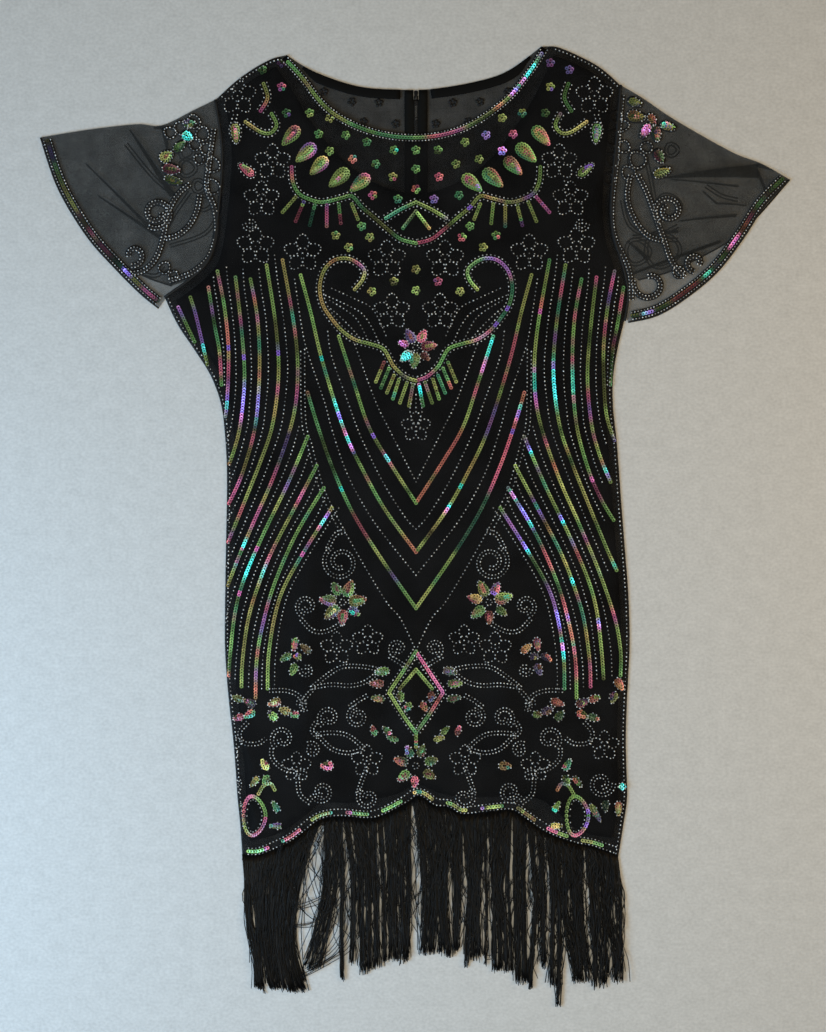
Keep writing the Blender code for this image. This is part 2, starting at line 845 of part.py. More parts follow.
def main():
    """Builds the whole dress."""
    clear_scene()
    collection = make_collection(COLLECTION_NAME)
    cutters = make_collection("cutters")
    net = (0.012, 0.012, 0.013)
    lining = (0.006, 0.006, 0.007)
    finishes = {
        "front_panel": (net, 0.7, 0.0),
        "back_left": (net, 0.75, 0.0),
        "back_right": (net, 0.75, 0.0),
        "lining_front": (lining, 0.55, 0.0),
        "lining_back_left": (lining, 0.55, 0.0),
        "lining_back_right": (lining, 0.55, 0.0),
        "neck_binding_front": (lining, 0.6, 0.0),
        "neck_binding_back_left": (lining, 0.6, 0.0),
        "neck_binding_back_right": (lining, 0.6, 0.0),
        "zip_tape_left": (lining, 0.8, 0.0),
        "zip_tape_right": (lining, 0.8, 0.0),
        "zip_slider": ((0.02, 0.02, 0.02), 0.35, 0.9),
        "zip_pull": ((0.02, 0.02, 0.02), 0.35, 0.9),
        "sleeve_left": ((0.03, 0.031, 0.033), 0.7, 0.0),
        "sleeve_right": ((0.03, 0.031, 0.033), 0.7, 0.0),
        "fringe_front": ((0.01, 0.01, 0.011), 0.4, 0.0),
        "fringe_back": ((0.01, 0.01, 0.011), 0.4, 0.0),
    }
    materials = {name: make_material(name, *finish) for name, finish in finishes.items()}
    build_bodies(materials, collection)
    build_zip(materials, collection, cutters)
    build_sleeve("left", -1, SLEEVE_LEFT_TOP, ARMHOLE_LEFT, SLEEVE_LEFT_HEM_UPPER,
                 SLEEVE_LEFT_HEM_LOWER, materials["sleeve_left"], collection)
    build_sleeve("right", 1, SLEEVE_RIGHT_TOP, ARMHOLE_RIGHT, SLEEVE_RIGHT_HEM_UPPER,
                 SLEEVE_RIGHT_HEM_LOWER, materials["sleeve_right"], collection)
    hem = hem_edge()
    build_fringe("fringe_front", hem, FRONT_EDGE, CLOTH, 0.0, FRONT_LOCK_WAVE,
                 materials["fringe_front"], collection)
    build_fringe("fringe_back", hem, FRINGE_BACK_UNDER, FRINGE_BACK_THICK, BACK_TIP_SHORTER, 0.0,
                 materials["fringe_back"], collection)

    root = bpy.data.objects.new("dress_origin", None)
    collection.objects.link(root)
    for obj in list(collection.objects) + list(cutters.objects):
        if obj is not root:
            obj.parent = root


main()
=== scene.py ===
import math

import bpy
import numpy as np
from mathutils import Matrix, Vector
from mathutils.geometry import delaunay_2d_cdt


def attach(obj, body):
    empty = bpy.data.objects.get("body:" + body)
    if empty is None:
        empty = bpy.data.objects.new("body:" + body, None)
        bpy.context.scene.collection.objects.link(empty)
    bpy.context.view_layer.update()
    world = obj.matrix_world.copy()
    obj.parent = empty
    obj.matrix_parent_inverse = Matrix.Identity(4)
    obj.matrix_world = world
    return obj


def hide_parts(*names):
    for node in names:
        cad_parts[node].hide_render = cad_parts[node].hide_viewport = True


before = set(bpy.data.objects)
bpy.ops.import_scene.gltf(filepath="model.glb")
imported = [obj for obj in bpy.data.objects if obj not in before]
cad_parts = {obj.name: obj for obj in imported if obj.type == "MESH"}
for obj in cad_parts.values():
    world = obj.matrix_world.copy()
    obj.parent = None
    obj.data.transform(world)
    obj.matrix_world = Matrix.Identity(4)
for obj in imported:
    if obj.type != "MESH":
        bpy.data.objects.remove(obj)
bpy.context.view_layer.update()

# The looks of a beaded flapper dress laid flat. Lengths are in millimetres until a mesh is made.
# Outlines give across, to the viewer's right, and down, from the top of the shoulders.
MM = 0.001
ACROSS_SHIFT = 0.8
HALF_LENGTH = 481.0
GARMENT = "garment"
PULL = "zip_pull"

# Cloth, as the solids have it
EDGE_STEP = 15.0
CURVE_PARTS = 8
STRAIGHT_TURN = 0.02
LINING_INSET = 9.0
HEM_NET_FROM = 735.0
CORNER_CLEAR = 10.0
BINDING_FRONT = 6.0
BINDING_BACK = 9.5
BINDING_BACK_REACH = 106.0
GAP = 0.3
LIFT_START = 106.0
LIFT_END = 86.0
NECK_LIFT = 1.3

# Heights of the fine cloth over the floor
NET_THICK = 0.3
LINING_THICK = 0.4
BACK_NET_LEVEL = 1.2
BACK_LINING_LEVEL = 1.9
TAPE_LEVEL = 1.9
FRONT_LINING_LEVEL = 3.2
FRONT_EDGE_LEVEL = 1.75
FRONT_LEVEL = 4.7
FRONT_RIM = 9.0
BINDING_LEVEL = 1.9
BINDING_HALF_HEIGHT = 0.55
NET_CELLS = 700.0
SLEEVE_UPPER = 2.0
SLEEVE_LOWER = 0.75
OUTLINE_STEP = 5.0
NET_STEP = 6.0

# Zip
ZIP_TOP = 44.5
ZIP_BOTTOM = 524.0
TAPE_HALF = 11.5
TAPE_CENTRE = 0.15
TOOTH_PITCH = 1.6
LINING_FROM_ZIP = 12.0

# Sequins and beads
SEQUIN_RADIUS = 1.95
SEQUIN_HOLE = 0.75
SEQUIN_PITCH = 2.8
SEQUIN_SLOPE = 0.14
BEAD_RADIUS = 0.76
BEAD_PITCH = 4.1
MOTIF_PITCH = 3.3
PAIR_HALF = 1.7
EDGING = 3.5
EDGE_BEADS = 3.0
HEM_BEAD_INSETS = (3.0, 9.5)
HEM_DASH_INSET = 6.2
HEM_DASH_EVERY = 13
HEM_DASH_LONG = 8
SLEEVE_HEM_SEQUINS = 5.5
SLEEVE_HEM_BEADS = (2.0, 9.0)
SLEEVE_BAND = 3.4
NECK_SEQUINS = 4.2
NECK_BEAD_INSETS = (1.2, 7.4)
CHART_DROP = 46.0
SEQUIN_CLEAR = 2.2
BEAD_CLEAR = 0.7

# Fringe
FRINGE_MID_DOWN = 854.0
FRINGE_STRANDS = 1050
FRINGE_BACK_STRANDS = 520
STRAND_POINTS = 18
STRAND_RADIUS = 0.5
LOCK_WIDTHS = (5.0, 11.0)
STRAY_STRANDS = 230
LONG_LOCK = (139.0, 142.5)
LONG_LOCK_DOWN = 961.0
WAVE_TURN = 6.28
BACK_TIP_SHORTER = 10.0

# columns: across, down
NECK_FRONT = (
    (-129.0, 9.5), (-111.0, 29.0), (-84.0, 62.0), (-45.0, 82.0), (0.0, 88.3),
    (44.0, 80.0), (83.5, 55.0), (108.0, 27.0), (125.0, 1.0),
)
NECK_BACK = (
    (-129.0, 9.5), (-101.8, 26.0), (-59.7, 40.4), (-20.0, 44.0),
    (20.0, 43.0), (66.6, 34.5), (94.0, 24.0), (125.0, 1.0),
)
NECK_LINING = (
    (-145.0, 14.0), (-122.0, 48.0), (-104.0, 78.0), (-74.0, 114.0), (-38.0, 139.0), (0.0, 148.0),
    (38.0, 139.0), (74.0, 114.0), (103.0, 76.0), (122.0, 44.0), (141.0, 2.0),
)
SHOULDER_LEFT = ((-129.0, 9.5), (-147.0, 14.5), (-175.5, 32.0), (-200.0, 54.0))
SHOULDER_RIGHT = ((204.0, 39.5), (181.0, 20.0), (143.0, 2.0), (125.0, 1.0))
ARMHOLE_LEFT = (
    (-200.0, 54.0), (-193.5, 99.0), (-194.0, 135.0), (-199.5, 185.0),
    (-206.0, 213.0), (-222.0, 231.0), (-251.0, 252.0),
)
ARMHOLE_RIGHT = (
    (204.0, 39.5), (200.5, 90.0), (196.5, 130.0), (195.0, 162.0),
    (198.0, 192.0), (206.0, 219.0), (211.5, 247.0), (208.0, 275.0),
)
HEM = (
    (-173.6, 810.0), (-155.0, 810.0), (-126.0, 797.6), (-112.0, 787.8), (-95.0, 775.0),
    (-75.3, 771.7), (-47.3, 773.8), (-30.4, 769.6), (-6.6, 757.0), (3.0, 751.0),
    (18.0, 761.0), (32.0, 762.5), (46.0, 769.6), (74.0, 766.8), (95.0, 765.4),
    (106.4, 772.4), (130.3, 788.0), (158.3, 798.3), (176.6, 802.0), (202.0, 811.0),
)
HEM_LINING = (
    (-175.0, 796.0), (-140.0, 788.0), (-112.0, 770.0), (-95.0, 757.0), (-60.0, 756.0),
    (-20.0, 748.0), (0.0, 738.0), (28.0, 748.0), (60.0, 750.5), (119.0, 751.5),
    (140.0, 765.0), (158.0, 781.0), (175.0, 788.0), (205.0, 793.0),
)
SLEEVE_LEFT_TOP = (
    (-200.0, 54.0), (-221.5, 64.4), (-254.0, 80.0), (-279.0, 78.8), (-328.6, 84.4), (-375.0, 92.0),
)
SLEEVE_LEFT_UPPER = (
    (-375.0, 92.0), (-357.3, 142.8), (-328.6, 190.6), (-300.0, 223.0), (-275.0, 248.0), (-257.0, 262.5),
)
SLEEVE_LEFT_LOWER = (
    (-375.0, 92.0), (-362.0, 127.0), (-338.0, 170.0), (-300.0, 213.0), (-270.0, 231.0), (-244.0, 240.0),
)
SLEEVE_RIGHT_TOP = (
    (204.0, 39.5), (227.0, 53.0), (258.0, 74.0), (315.3, 106.4), (345.0, 118.0), (373.2, 134.0),
)
SLEEVE_RIGHT_UPPER = (
    (373.2, 134.0), (348.0, 160.0), (326.8, 192.5), (300.0, 227.0),
    (267.5, 253.8), (240.0, 270.0), (212.0, 276.5),
)
SLEEVE_RIGHT_LOWER = (
    (373.2, 134.0), (340.0, 172.0), (312.0, 196.0), (258.0, 224.0), (222.0, 234.0),
)

# columns: down, left, right
BODY_SIDES = (
    (275.0, -240.5, 208.0), (300.0, -224.0, 202.0), (325.0, -208.0, 198.0), (350.0, -196.5, 196.0),
    (400.0, -190.0, 201.0), (450.0, -189.0, 204.6), (500.0, -190.0, 208.5), (550.0, -190.7, 212.3),
    (600.0, -191.0, 213.5), (650.0, -187.5, 211.0), (700.0, -182.0, 209.6), (750.0, -178.5, 211.0),
    (780.0, -175.5, 207.0),
)

# columns: across_top, down_top, across_bottom, down_bottom, half_width, height
FRONT_FOLDS = (
    (-150.0, 300.0, -160.0, 640.0, 15.0, 2.6),
    (-107.0, 500.0, -112.0, 735.0, 12.0, 3.4),
    (-64.0, 580.0, -52.0, 745.0, 16.0, 2.0),
    (-8.0, 560.0, -6.0, 735.0, 13.0, 3.0),
    (92.0, 520.0, 84.0, 745.0, 14.0, 2.8),
    (148.0, 330.0, 162.0, 690.0, 16.0, 2.6),
    (-90.0, 120.0, 60.0, 138.0, 11.0, 1.6),
    (-150.0, 205.0, -40.0, 235.0, 14.0, 1.8),
    (50.0, 240.0, 160.0, 215.0, 14.0, 1.8),
)
FRONT_CREASES = (
    (-110.0, 520.0, -104.0, 612.0, 2.2, 1.1),
    (-8.0, 612.0, -3.0, 700.0, 2.6, 1.3),
    (-6.0, 430.0, 4.0, 520.0, 2.4, 0.7),
    (-120.0, 96.0, -30.0, 104.0, 2.6, 0.6),
    (20.0, 108.0, 110.0, 92.0, 2.8, 0.6),
    (60.0, 560.0, 66.0, 700.0, 3.0, 0.8),
    (-60.0, 640.0, -72.0, 740.0, 2.8, 0.8),
    (120.0, 640.0, 132.0, 760.0, 3.2, 0.9),
)
LINING_CREASES = (
    (-70.0, 150.0, 60.0, 168.0, 4.0, 0.5),
    (-108.0, 500.0, -104.0, 640.0, 3.0, 0.6),
    (-4.0, 600.0, 0.0, 700.0, 3.0, 0.6),
    (90.0, 380.0, 96.0, 560.0, 5.0, 0.5),
)
SLEEVE_FOLDS = (
    (-215.0, 115.0, -320.0, 150.0, 13.0, 2.4),
    (-212.0, 180.0, -290.0, 212.0, 12.0, 2.0),
    (222.0, 140.0, 340.0, 124.0, 9.0, 3.6),
    (226.0, 172.0, 322.0, 172.0, 12.0, 2.2),
    (350.0, 128.0, 374.0, 140.0, 12.0, 4.0),
)
SLEEVE_CREASES = (
    (-286.0, 84.0, -246.0, 150.0, 3.2, 1.6),
    (-312.0, 100.0, -262.0, 196.0, 3.6, 1.2),
    (-340.0, 96.0, -330.0, 170.0, 3.0, 0.9),
    (-222.0, 90.0, -232.0, 176.0, 3.4, 1.0),
    (246.0, 132.0, 340.0, 122.0, 2.0, 2.2),
    (234.0, 150.0, 330.0, 146.0, 2.6, 1.4),
    (250.0, 96.0, 330.0, 128.0, 2.6, 0.9),
    (226.0, 200.0, 296.0, 196.0, 3.0, 1.0),
)

# Where a single layer of sleeve net shows. Columns: across, down, reach, how much thinner
SLEEVE_THIN = {
    "left": ((-268.0, 258.0, 13.0, 0.1), (-316.0, 110.0, 46.0, 0.05)),
    "right": ((359.0, 140.5, 8.0, 0.26), (290.0, 100.0, 40.0, 0.05)),
}

# columns: across_from, down_from, across_to, down_to, half width at each end, density of the doubled net
SLEEVE_PLEATS = {
    "left": (
        (-286.0, 84.0, -243.0, 150.0, 0.8, 3.2, 0.30), (-252.0, 82.0, -247.0, 112.0, 3.0, 0.8, 0.55),
        (-330.0, 118.0, -262.0, 186.0, 0.6, 1.8, 0.14), (-318.0, 150.0, -250.0, 196.0, 0.6, 2.0, 0.16),
        (-262.0, 82.0, -250.0, 82.5, 1.4, 2.2, 0.6), (-246.0, 238.0, -228.0, 230.0, 2.0, 3.0, 0.7),
    ),
    "right": (
        (247.0, 133.0, 342.0, 125.5, 0.6, 7.0, 0.85), (254.0, 134.5, 322.0, 141.0, 0.7, 1.0, 0.5),
        (286.0, 146.0, 300.0, 158.0, 0.8, 1.0, 0.6), (300.0, 158.0, 330.0, 160.0, 1.0, 0.6, 0.55),
        (340.0, 119.0, 371.0, 128.0, 2.2, 1.6, 0.9), (341.0, 126.0, 350.0, 148.0, 1.6, 1.6, 0.9),
        (350.0, 150.0, 371.0, 136.0, 2.4, 2.0, 0.8), (262.0, 176.0, 320.0, 170.0, 0.6, 1.6, 0.3),
        (214.0, 229.0, 304.0, 196.0, 1.2, 1.6, 0.7), (216.0, 190.0, 262.0, 186.0, 0.8, 1.6, 0.4),
        (212.0, 196.0, 232.0, 214.0, 1.0, 2.4, 0.5),
    ),
}

# columns: root_from, root_to, mid_from, mid_to, tip_from, tip_to, tip_down, gathering of its locks
FRINGE_CLUMPS = (
    (-174.0, -93.0, -170.0, -118.0, -161.0, -109.0, 943.0, 0.15),
    (-93.0, -79.0, -97.0, -80.0, -112.0, -92.0, 924.0, 0.5),
    (-79.0, -73.0, -76.0, -72.0, -76.0, -71.0, 931.0, 0.8),
    (-73.0, -66.0, -65.5, -60.5, -65.0, -60.5, 915.0, 0.6),
    (-66.0, -39.0, -58.0, -37.0, -58.0, -36.0, 924.0, 0.6),
    (-39.0, -33.0, -34.0, -30.0, -33.0, -29.0, 918.0, 0.8),
    (-33.0, -20.0, -27.5, -18.5, -27.5, -18.0, 915.0, 0.4),
    (-20.0, -4.0, -16.0, -5.5, -15.5, -5.0, 915.0, 0.4),
    (-4.0, 34.0, 6.5, 34.0, 5.0, 34.0, 907.0, 0.35),
    (34.0, 46.0, 37.0, 45.0, 37.0, 43.0, 908.0, 0.5),
    (46.0, 67.0, 50.0, 65.5, 50.0, 65.0, 913.0, 0.4),
    (67.0, 71.0, 69.0, 71.0, 69.0, 71.0, 914.0, 0.5),
    (71.0, 92.0, 76.0, 90.0, 76.0, 90.5, 924.0, 0.35),
    (92.0, 96.0, 93.0, 95.0, 93.0, 96.0, 923.0, 0.5),
    (96.0, 111.0, 100.0, 110.5, 100.0, 110.5, 935.0, 0.35),
    (111.0, 119.0, 113.0, 119.0, 113.0, 120.0, 936.0, 0.95),
    (119.0, 129.0, 124.0, 129.0, 125.0, 130.0, 920.0, 0.7),
    (129.0, 145.0, 134.0, 145.0, 134.0, 144.0, 937.0, 0.5),
    (145.0, 168.0, 148.0, 167.0, 154.0, 174.0, 936.0, 0.4),
    (168.0, 204.0, 173.0, 208.0, 176.0, 209.0, 934.0, 0.3),
)

# Loose strands. Columns: the across and down of a strand's points, strands side by side
FRINGE_LOOPS = (
    (((-70, 842), (-76, 876), (-96, 896), (-122, 906), (-142, 912)), 3),
    (((-66, 868), (-80, 902), (-104, 920), (-126, 924)), 3),
    (((-72, 884), (-70, 920), (-84, 948), (-112, 966)), 4),
    (((-92, 872), (-86, 900), (-100, 918), (-118, 906)), 2),
    (((-62, 900), (-66, 940), (-88, 958), (-118, 976)), 3),
    (((-106, 862), (-104, 880), (-100, 898)), 1),
    (((-58, 836), (-52, 880), (-56, 930), (-54, 972)), 2),
    (((-40, 838), (-14, 872), (-2, 900), (2, 948)), 2),
    (((6, 842), (14, 870), (-2, 896), (-22, 902), (-36, 890)), 2),
    (((40, 832), (60, 870), (84, 892), (110, 900)), 2),
    (((92, 822), (76, 860), (82, 900), (96, 936)), 2),
    (((128, 830), (112, 876), (118, 910), (140, 938)), 3),
    (((150, 860), (124, 892), (116, 926), (132, 956)), 3),
    (((118, 868), (112, 904), (94, 930), (76, 952), (68, 956)), 2),
    (((176, 850), (160, 890), (176, 930), (170, 962)), 2),
    (((-126, 820), (-140, 860), (-120, 900), (-132, 950)), 3),
    (((20, 820), (34, 860), (24, 900), (30, 940)), 3),
)

# The embroidery is charted for one half and mirrored. Chart columns: across, down from the chart's
# own zero, which lies CHART_DROP above the shoulders.
LASH_SCALLOP = (
    (124, 168), (123, 182), (118, 193), (109, 199), (94, 203), (75, 199),
    (64, 197), (54, 208), (42, 218), (27, 231), (15, 240), (0, 244),
)
LASH_ARC = ((30, 219), (15, 210), (0, 203))
LASH_CHEVRON = ((13, 229), (0, 212))
HORN = (
    (61, 290), (53, 280), (52, 270), (63, 261), (73, 259), (83, 262), (92, 272), (96, 288), (93, 305),
    (85, 318), (74, 331), (61, 340), (47, 344), (33, 349), (26, 360), (22, 367), (11, 377), (0, 381),
)
SHOULDER_ARC = ((152, 85), (148, 99), (155, 112))
SHOULDER_HOOK = ((144, 115), (139, 126), (145, 134), (155, 133), (170, 123))
DIAMOND = ((0, 651), (13, 671), (25, 689), (27, 692), (25, 695), (13, 714), (0, 732))
EDGED_LINES = (
    LASH_SCALLOP, LASH_ARC, HORN, SHOULDER_ARC, SHOULDER_HOOK, DIAMOND,
)
V_INNER = ((77, 337), (62, 383), (47, 427), (26, 463), (0, 503))
V_MIDDLE = ((115, 276), (105, 313), (93, 363), (71, 432), (51, 474), (30, 511), (0, 552))
V_OUTER = ((108, 393), (99, 423), (84, 466), (64, 511), (37, 555), (0, 608))
RAYS = (
    ((64, 205), (58, 220)), ((77, 205), (75, 224)), ((89, 206), (89, 227)),
    ((101, 206), (106, 226)), ((112, 203), (120, 222)), ((120, 198), (133, 213)),
    ((3, 385), (7, 406)), ((9, 383), (16, 403)), ((17, 380), (23, 399)),
    ((22, 376), (29, 393)), ((27, 369), (35, 388)), ((32, 363), (40, 382)),
    ((0, 734), (0, 746)), ((0, 669), (16, 688)),
)
STRIPES = (
    ((207, 288), (201, 325), (196, 352), (194, 385)),
    ((198, 272), (191, 308), (187, 350), (188, 395), (191, 420), (199, 443)),
    ((180, 278), (174, 330), (171, 378), (175, 424), (183, 455), (194, 482)),
    ((165, 280), (158, 320), (156, 370), (160, 425), (172, 470), (185, 500), (197, 520)),
    ((149, 266), (140, 325), (137, 375), (143, 425), (155, 462), (171, 502), (190, 548), (200, 570)),
    ((133, 261), (121, 330), (118, 376), (123, 420), (142, 477), (163, 525), (182, 570),
     (198, 617), (204, 650), (204, 675)),
    ((108, 437), (128, 484), (152, 534), (171, 578), (180, 610), (185, 650), (187, 678)),
    ((99, 466), (118, 502), (143, 550), (156, 582), (167, 618), (173, 660), (174, 686)),
    ((92, 488), (120, 535), (142, 586), (154, 630), (159, 662), (160, 697)),
    ((84, 508), (112, 552), (132, 588), (141, 617), (147, 655), (148, 688)),
)
STRIPES_LEFT_ONLY = (
    ((-237, 308), (-221, 342)),
    ((-225, 298), (-219, 318), (-207, 370)),
)
V_BEADS = (
    ((61, 345), (41, 400), (27, 429), (0, 482)),
    ((88, 332), (84, 357), (68, 402), (55, 437), (33, 482), (11, 517), (0, 529)),
    ((121, 280), (113, 333), (106, 359), (91, 403), (84, 429), (69, 473), (47, 514), (25, 544), (0, 575)),
    ((111, 350), (110, 419), (104, 444), (93, 485), (80, 514), (71, 531), (60, 551), (40, 585),
     (27, 605), (15, 619), (0, 650)),
    ((115, 352), (114, 420), (108, 446), (97, 487), (84, 516), (74, 534)),
    ((84, 289), (60, 300), (46, 307), (38, 318), (30, 336)),
    ((86, 301), (71, 310), (59, 320), (48, 340)),
    ((88, 307), (76, 317), (64, 329), (54, 341)),
    ((90, 296), (70, 305), (54, 314), (44, 328), (38, 341)),
    ((0, 395), (0, 412)), ((4, 400), (6, 412), (2, 424)),
    ((178, 116), (180, 126), (176, 134)), ((182, 116), (185, 126), (184, 136)),
    ((148, 182), (152, 190), (154, 199)),
)
DOUBLE_BEADS = (
    ((37, 669), (53, 666), (72, 666), (86, 673), (104, 687)),
    ((37, 671), (50, 681), (66, 685), (84, 684), (104, 687)),
    ((52, 747), (67, 735), (82, 732), (98, 733)), ((52, 748), (68, 752), (84, 748), (98, 734)),
    ((76, 624), (90, 631), (103, 630), (114, 619)),
    ((71, 531), (80, 534), (88, 548)),
    ((6, 668), (16, 662), (26, 656)), ((49, 695), (58, 700), (66, 706)),
    ((98, 736), (104, 730), (100, 722)), ((112, 772), (132, 768), (143, 758), (144, 748)),
    ((118, 775), (116, 793), (106, 802)), ((49, 767), (55, 783), (58, 792)),
    ((112, 701), (118, 694), (130, 690), (146, 690)), ((104, 690), (112, 700), (110, 710)),
    ((168, 722), (176, 732), (172, 742), (158, 743), (150, 738)),
)

# columns: across, down, length, width, lean of the tip below the outward line in degrees
PETALS = (
    (34, 671, 15, 8, 10), (39, 683, 15, 8, 0), (38, 698, 14, 7, -10), (15, 696, 11, 7, 100),
    (8, 706, 11, 7, 60), (42, 730, 11, 6, -70), (29, 730, 11, 6, -45), (23, 738, 12, 6, -15),
    (89, 765, 13, 9, 0), (151, 764, 13, 7, -60), (150, 779, 11, 7, 60), (161, 781, 13, 6, 50),
    (140, 806, 13, 6, -60), (140, 825, 13, 6, 0), (179, 812, 20, 6, 60), (189, 805, 12, 7, 90),
    (202, 808, 15, 7, 90), (206, 786, 8, 7, 0), (121, 644, 14, 7, 80), (110, 648, 13, 7, -40),
    (130, 657, 13, 7, 30), (118, 656, 9, 7, 0), (122, 669, 13, 8, 70), (141, 702, 14, 8, 20),
    (131, 710, 12, 8, -20), (143, 715, 12, 8, -50), (166, 702, 14, 8, -25), (178, 698, 12, 7, -20),
    (166, 714, 13, 8, 30), (177, 717, 12, 7, 20), (121, 714, 9, 7, 0), (203, 684, 14, 8, 60),
    (197, 697, 12, 8, 110),
)
LEAVES = (
    (125, 137, 25, 13, 48), (110, 154, 26, 14, 42), (97, 167, 24, 13, 45), (77, 179, 26, 14, 42),
    (56, 184, 25, 13, 40),
)
EDGED_LEAVES = ((180, 134, 19, 9, 95), (169, 171, 18, 8, -38))

# columns: across, down, petals, radius of their middles, petal length, petal width
FLOWERS = (
    (0, 348, 7, 13, 14, 9), (73, 602, 7, 15, 16, 10), (0, 765, 7, 16, 14, 9),
)

# columns: across, down, outer radius, turns (less than 0 winds the other way), start angle in degrees
SPIRALS = (
    (75, 562, 19, 1.45, -60), (109, 606, 12, -1.1, 70), (18, 648, 10, -1.0, 60), (109, 669, 8, 0.8, 0),
    (58, 716, 12, 1.2, -80), (87, 717, 12, -1.1, 50), (133, 738, 13, -1.1, 50), (104, 749, 9, -0.9, -60),
    (94, 791, 12, 1.2, 20), (48, 797, 12, 1.1, -50), (185, 783, 14, 1.2, 0), (115, 703, 7, 0.8, 90),
    (165, 225, 8, 0.8, 0),
)

# columns: across, down, size, loops
CLOVERS = (
    (178, 97, 38, 5), (143, 163, 36, 5), (154, 200, 36, 5), (160, 247, 38, 5), (113, 254, 38, 5),
    (29, 260, 38, 5), (24, 312, 36, 5), (0, 427, 30, 5), (79, 648, 33, 5), (48, 640, 31, 5),
    (49, 760, 32, 5), (119, 766, 30, 5), (188, 745, 30, 5),
)

SEQUIN_ARCH = ((157, 793), (152, 785), (145, 783), (141, 789))
SEQUIN_OVAL = (161, 815, 38, 22)

# columns: across, down
ROSETTES = (
    (0, 151), (22, 151), (49, 143), (70, 136), (97, 135), (86, 119), (106, 114), (129, 114), (134, 88),
    (134, 64), (153, 71), (86, 152), (63, 160), (40, 165), (0, 170), (23, 178), (0, 190), (18, 200),
    (43, 196), (54, 227), (46, 238), (67, 248), (80, 236), (0, 270), (22, 282), (0, 291), (44, 292),
)
ROSETTES_BACK_NECK = ((37, 103), (64, 102), (92, 92), (20, 124), (52, 122), (84, 112))

# columns: across, down of a pair of bead rows on the upper layer of each sleeve
SLEEVE_LINES = {
    "left": (
        ((-202, 130), (-206, 160), (-209, 188), (-202, 206), (-199, 225), (-201, 242), (-208, 259),
         (-224, 273), (-246, 281)),
        ((-226, 185), (-236, 193), (-244, 205), (-249, 216), (-251, 232), (-255, 248), (-262, 262),
         (-272, 271), (-284, 274)),
        ((-216, 196), (-219, 212), (-227, 227), (-238, 236), (-249, 239)),
    ),
    "right": (
        ((206, 96), (203, 130), (200, 166), (196, 200), (196, 225), (200, 242), (208, 258),
         (214, 276), (215, 300)),
        ((214, 176), (211, 194), (214, 211), (223, 227), (233, 237), (246, 241)),
        ((222, 176), (230, 192), (236, 208), (241, 223), (247, 238), (252, 254), (258, 266), (268, 277)),
    ),
}
SLEEVE_SPIRALS = {
    "left": ((-259, 214, 17, 1.35, 60), (-282, 256, 12, 0.8, 80)),
    "right": ((252, 211, 16, 1.35, 120), (279, 263, 11, 0.8, 100), (233, 284, 18, -0.8, 190)),
}
SLEEVE_PETALS = {
    "left": (
        (-249, 157, 14, 11, -30), (-244, 170, 18, 10, 10), (-242, 181, 18, 8, 15), (-236, 147, 14, 8, -40),
        (-228, 137, 12, 9, 30), (-226, 124, 12, 8, 0),
    ),
    "right": (
        (219, 103, 14, 8, 20), (220, 117, 18, 11, 10), (229, 132, 16, 8, 120), (240, 134, 16, 9, 80),
        (252, 127, 15, 8, 15), (243, 157, 14, 9, 60), (246, 173, 18, 9, -20), (236, 120, 12, 7, 60),
    ),
}
SLEEVE_LOOPS = {
    "left": (
        (-203, 165, 15), (-203, 187, 15), (-222, 122, 14), (-234, 128, 14), (-213, 134, 14), (-221, 145, 12),
        (-209, 149, 12), (-246, 133, 12), (-217, 160, 10), (-251, 268, 12), (-242, 276, 10),
    ),
    "right": (
        (197, 138, 16), (196, 160, 14), (193, 179, 12), (208, 147, 12), (221, 160, 17), (207, 126, 12),
        (212, 173, 14), (200, 117, 12), (230, 148, 12), (262, 272, 12),
    ),
}
SLEEVE_UNDER_LINES = {
    "left": (
        ((-226, 192), (-240, 212), (-250, 230)), ((-196, 196), (-198, 214), (-212, 234), (-246, 246)),
        ((-290, 144), (-262, 178), (-240, 196)), ((-288, 268), (-262, 276), (-250, 268)),
    ),
    "right": (
        ((228, 150), (234, 176), (240, 206)), ((206, 200), (214, 226), (238, 238), (262, 240)),
        ((290, 186), (306, 196), (322, 200)), ((216, 240), (240, 236), (262, 226)),
    ),
}
SLEEVE_UNDER_RINGS = {
    "left": ((-229, 152, 7), (-228, 168, 8), (-217, 186, 6), (-211, 203, 7), (-256, 216, 12)),
    "right": ((222, 160, 9), (253, 207, 12), (247, 250, 17), (222, 252, 12), (256, 150, 6)),
}

# Sequin colours in 0 to 255 values, in the order in which they follow each other along a row
# columns: place in the cycle, red, green, blue
IRIDESCENCE = (
    (0.00, 156, 158, 92), (0.20, 122, 168, 92), (0.36, 78, 152, 108), (0.48, 58, 136, 134),
    (0.56, 104, 116, 178), (0.64, 148, 102, 172), (0.74, 208, 102, 142), (0.84, 212, 120, 112),
    (0.92, 184, 142, 92), (1.00, 156, 158, 92),
)
SEQUIN_GAIN = 1.05
STRETCH_SHARE = 0.24
# Share of sequins, each with the one after it, given a bright flash colour as a painted glint
PAINTED_GLINT_SHARE = 0.008
COOL_HUES = (0.04, 0.13, 0.25, 0.40, 0.62, 0.72, 0.78, 0.86)
WARM_HUES = (0.02, 0.84, 0.20, 0.76, 0.40, 0.60, 0.30)
# Bright colours painted into sequin tints as painted glints and painted highlights, in 0 to 255 values
PAINTED_FLASH_COLOURS = ((55, 235, 215), (165, 125, 250), (250, 130, 210))

# The light that tilted sequins catch
COOL_LIGHT = (-1.0, -0.45, 0.85)
FLASH_LIFT = 0.8
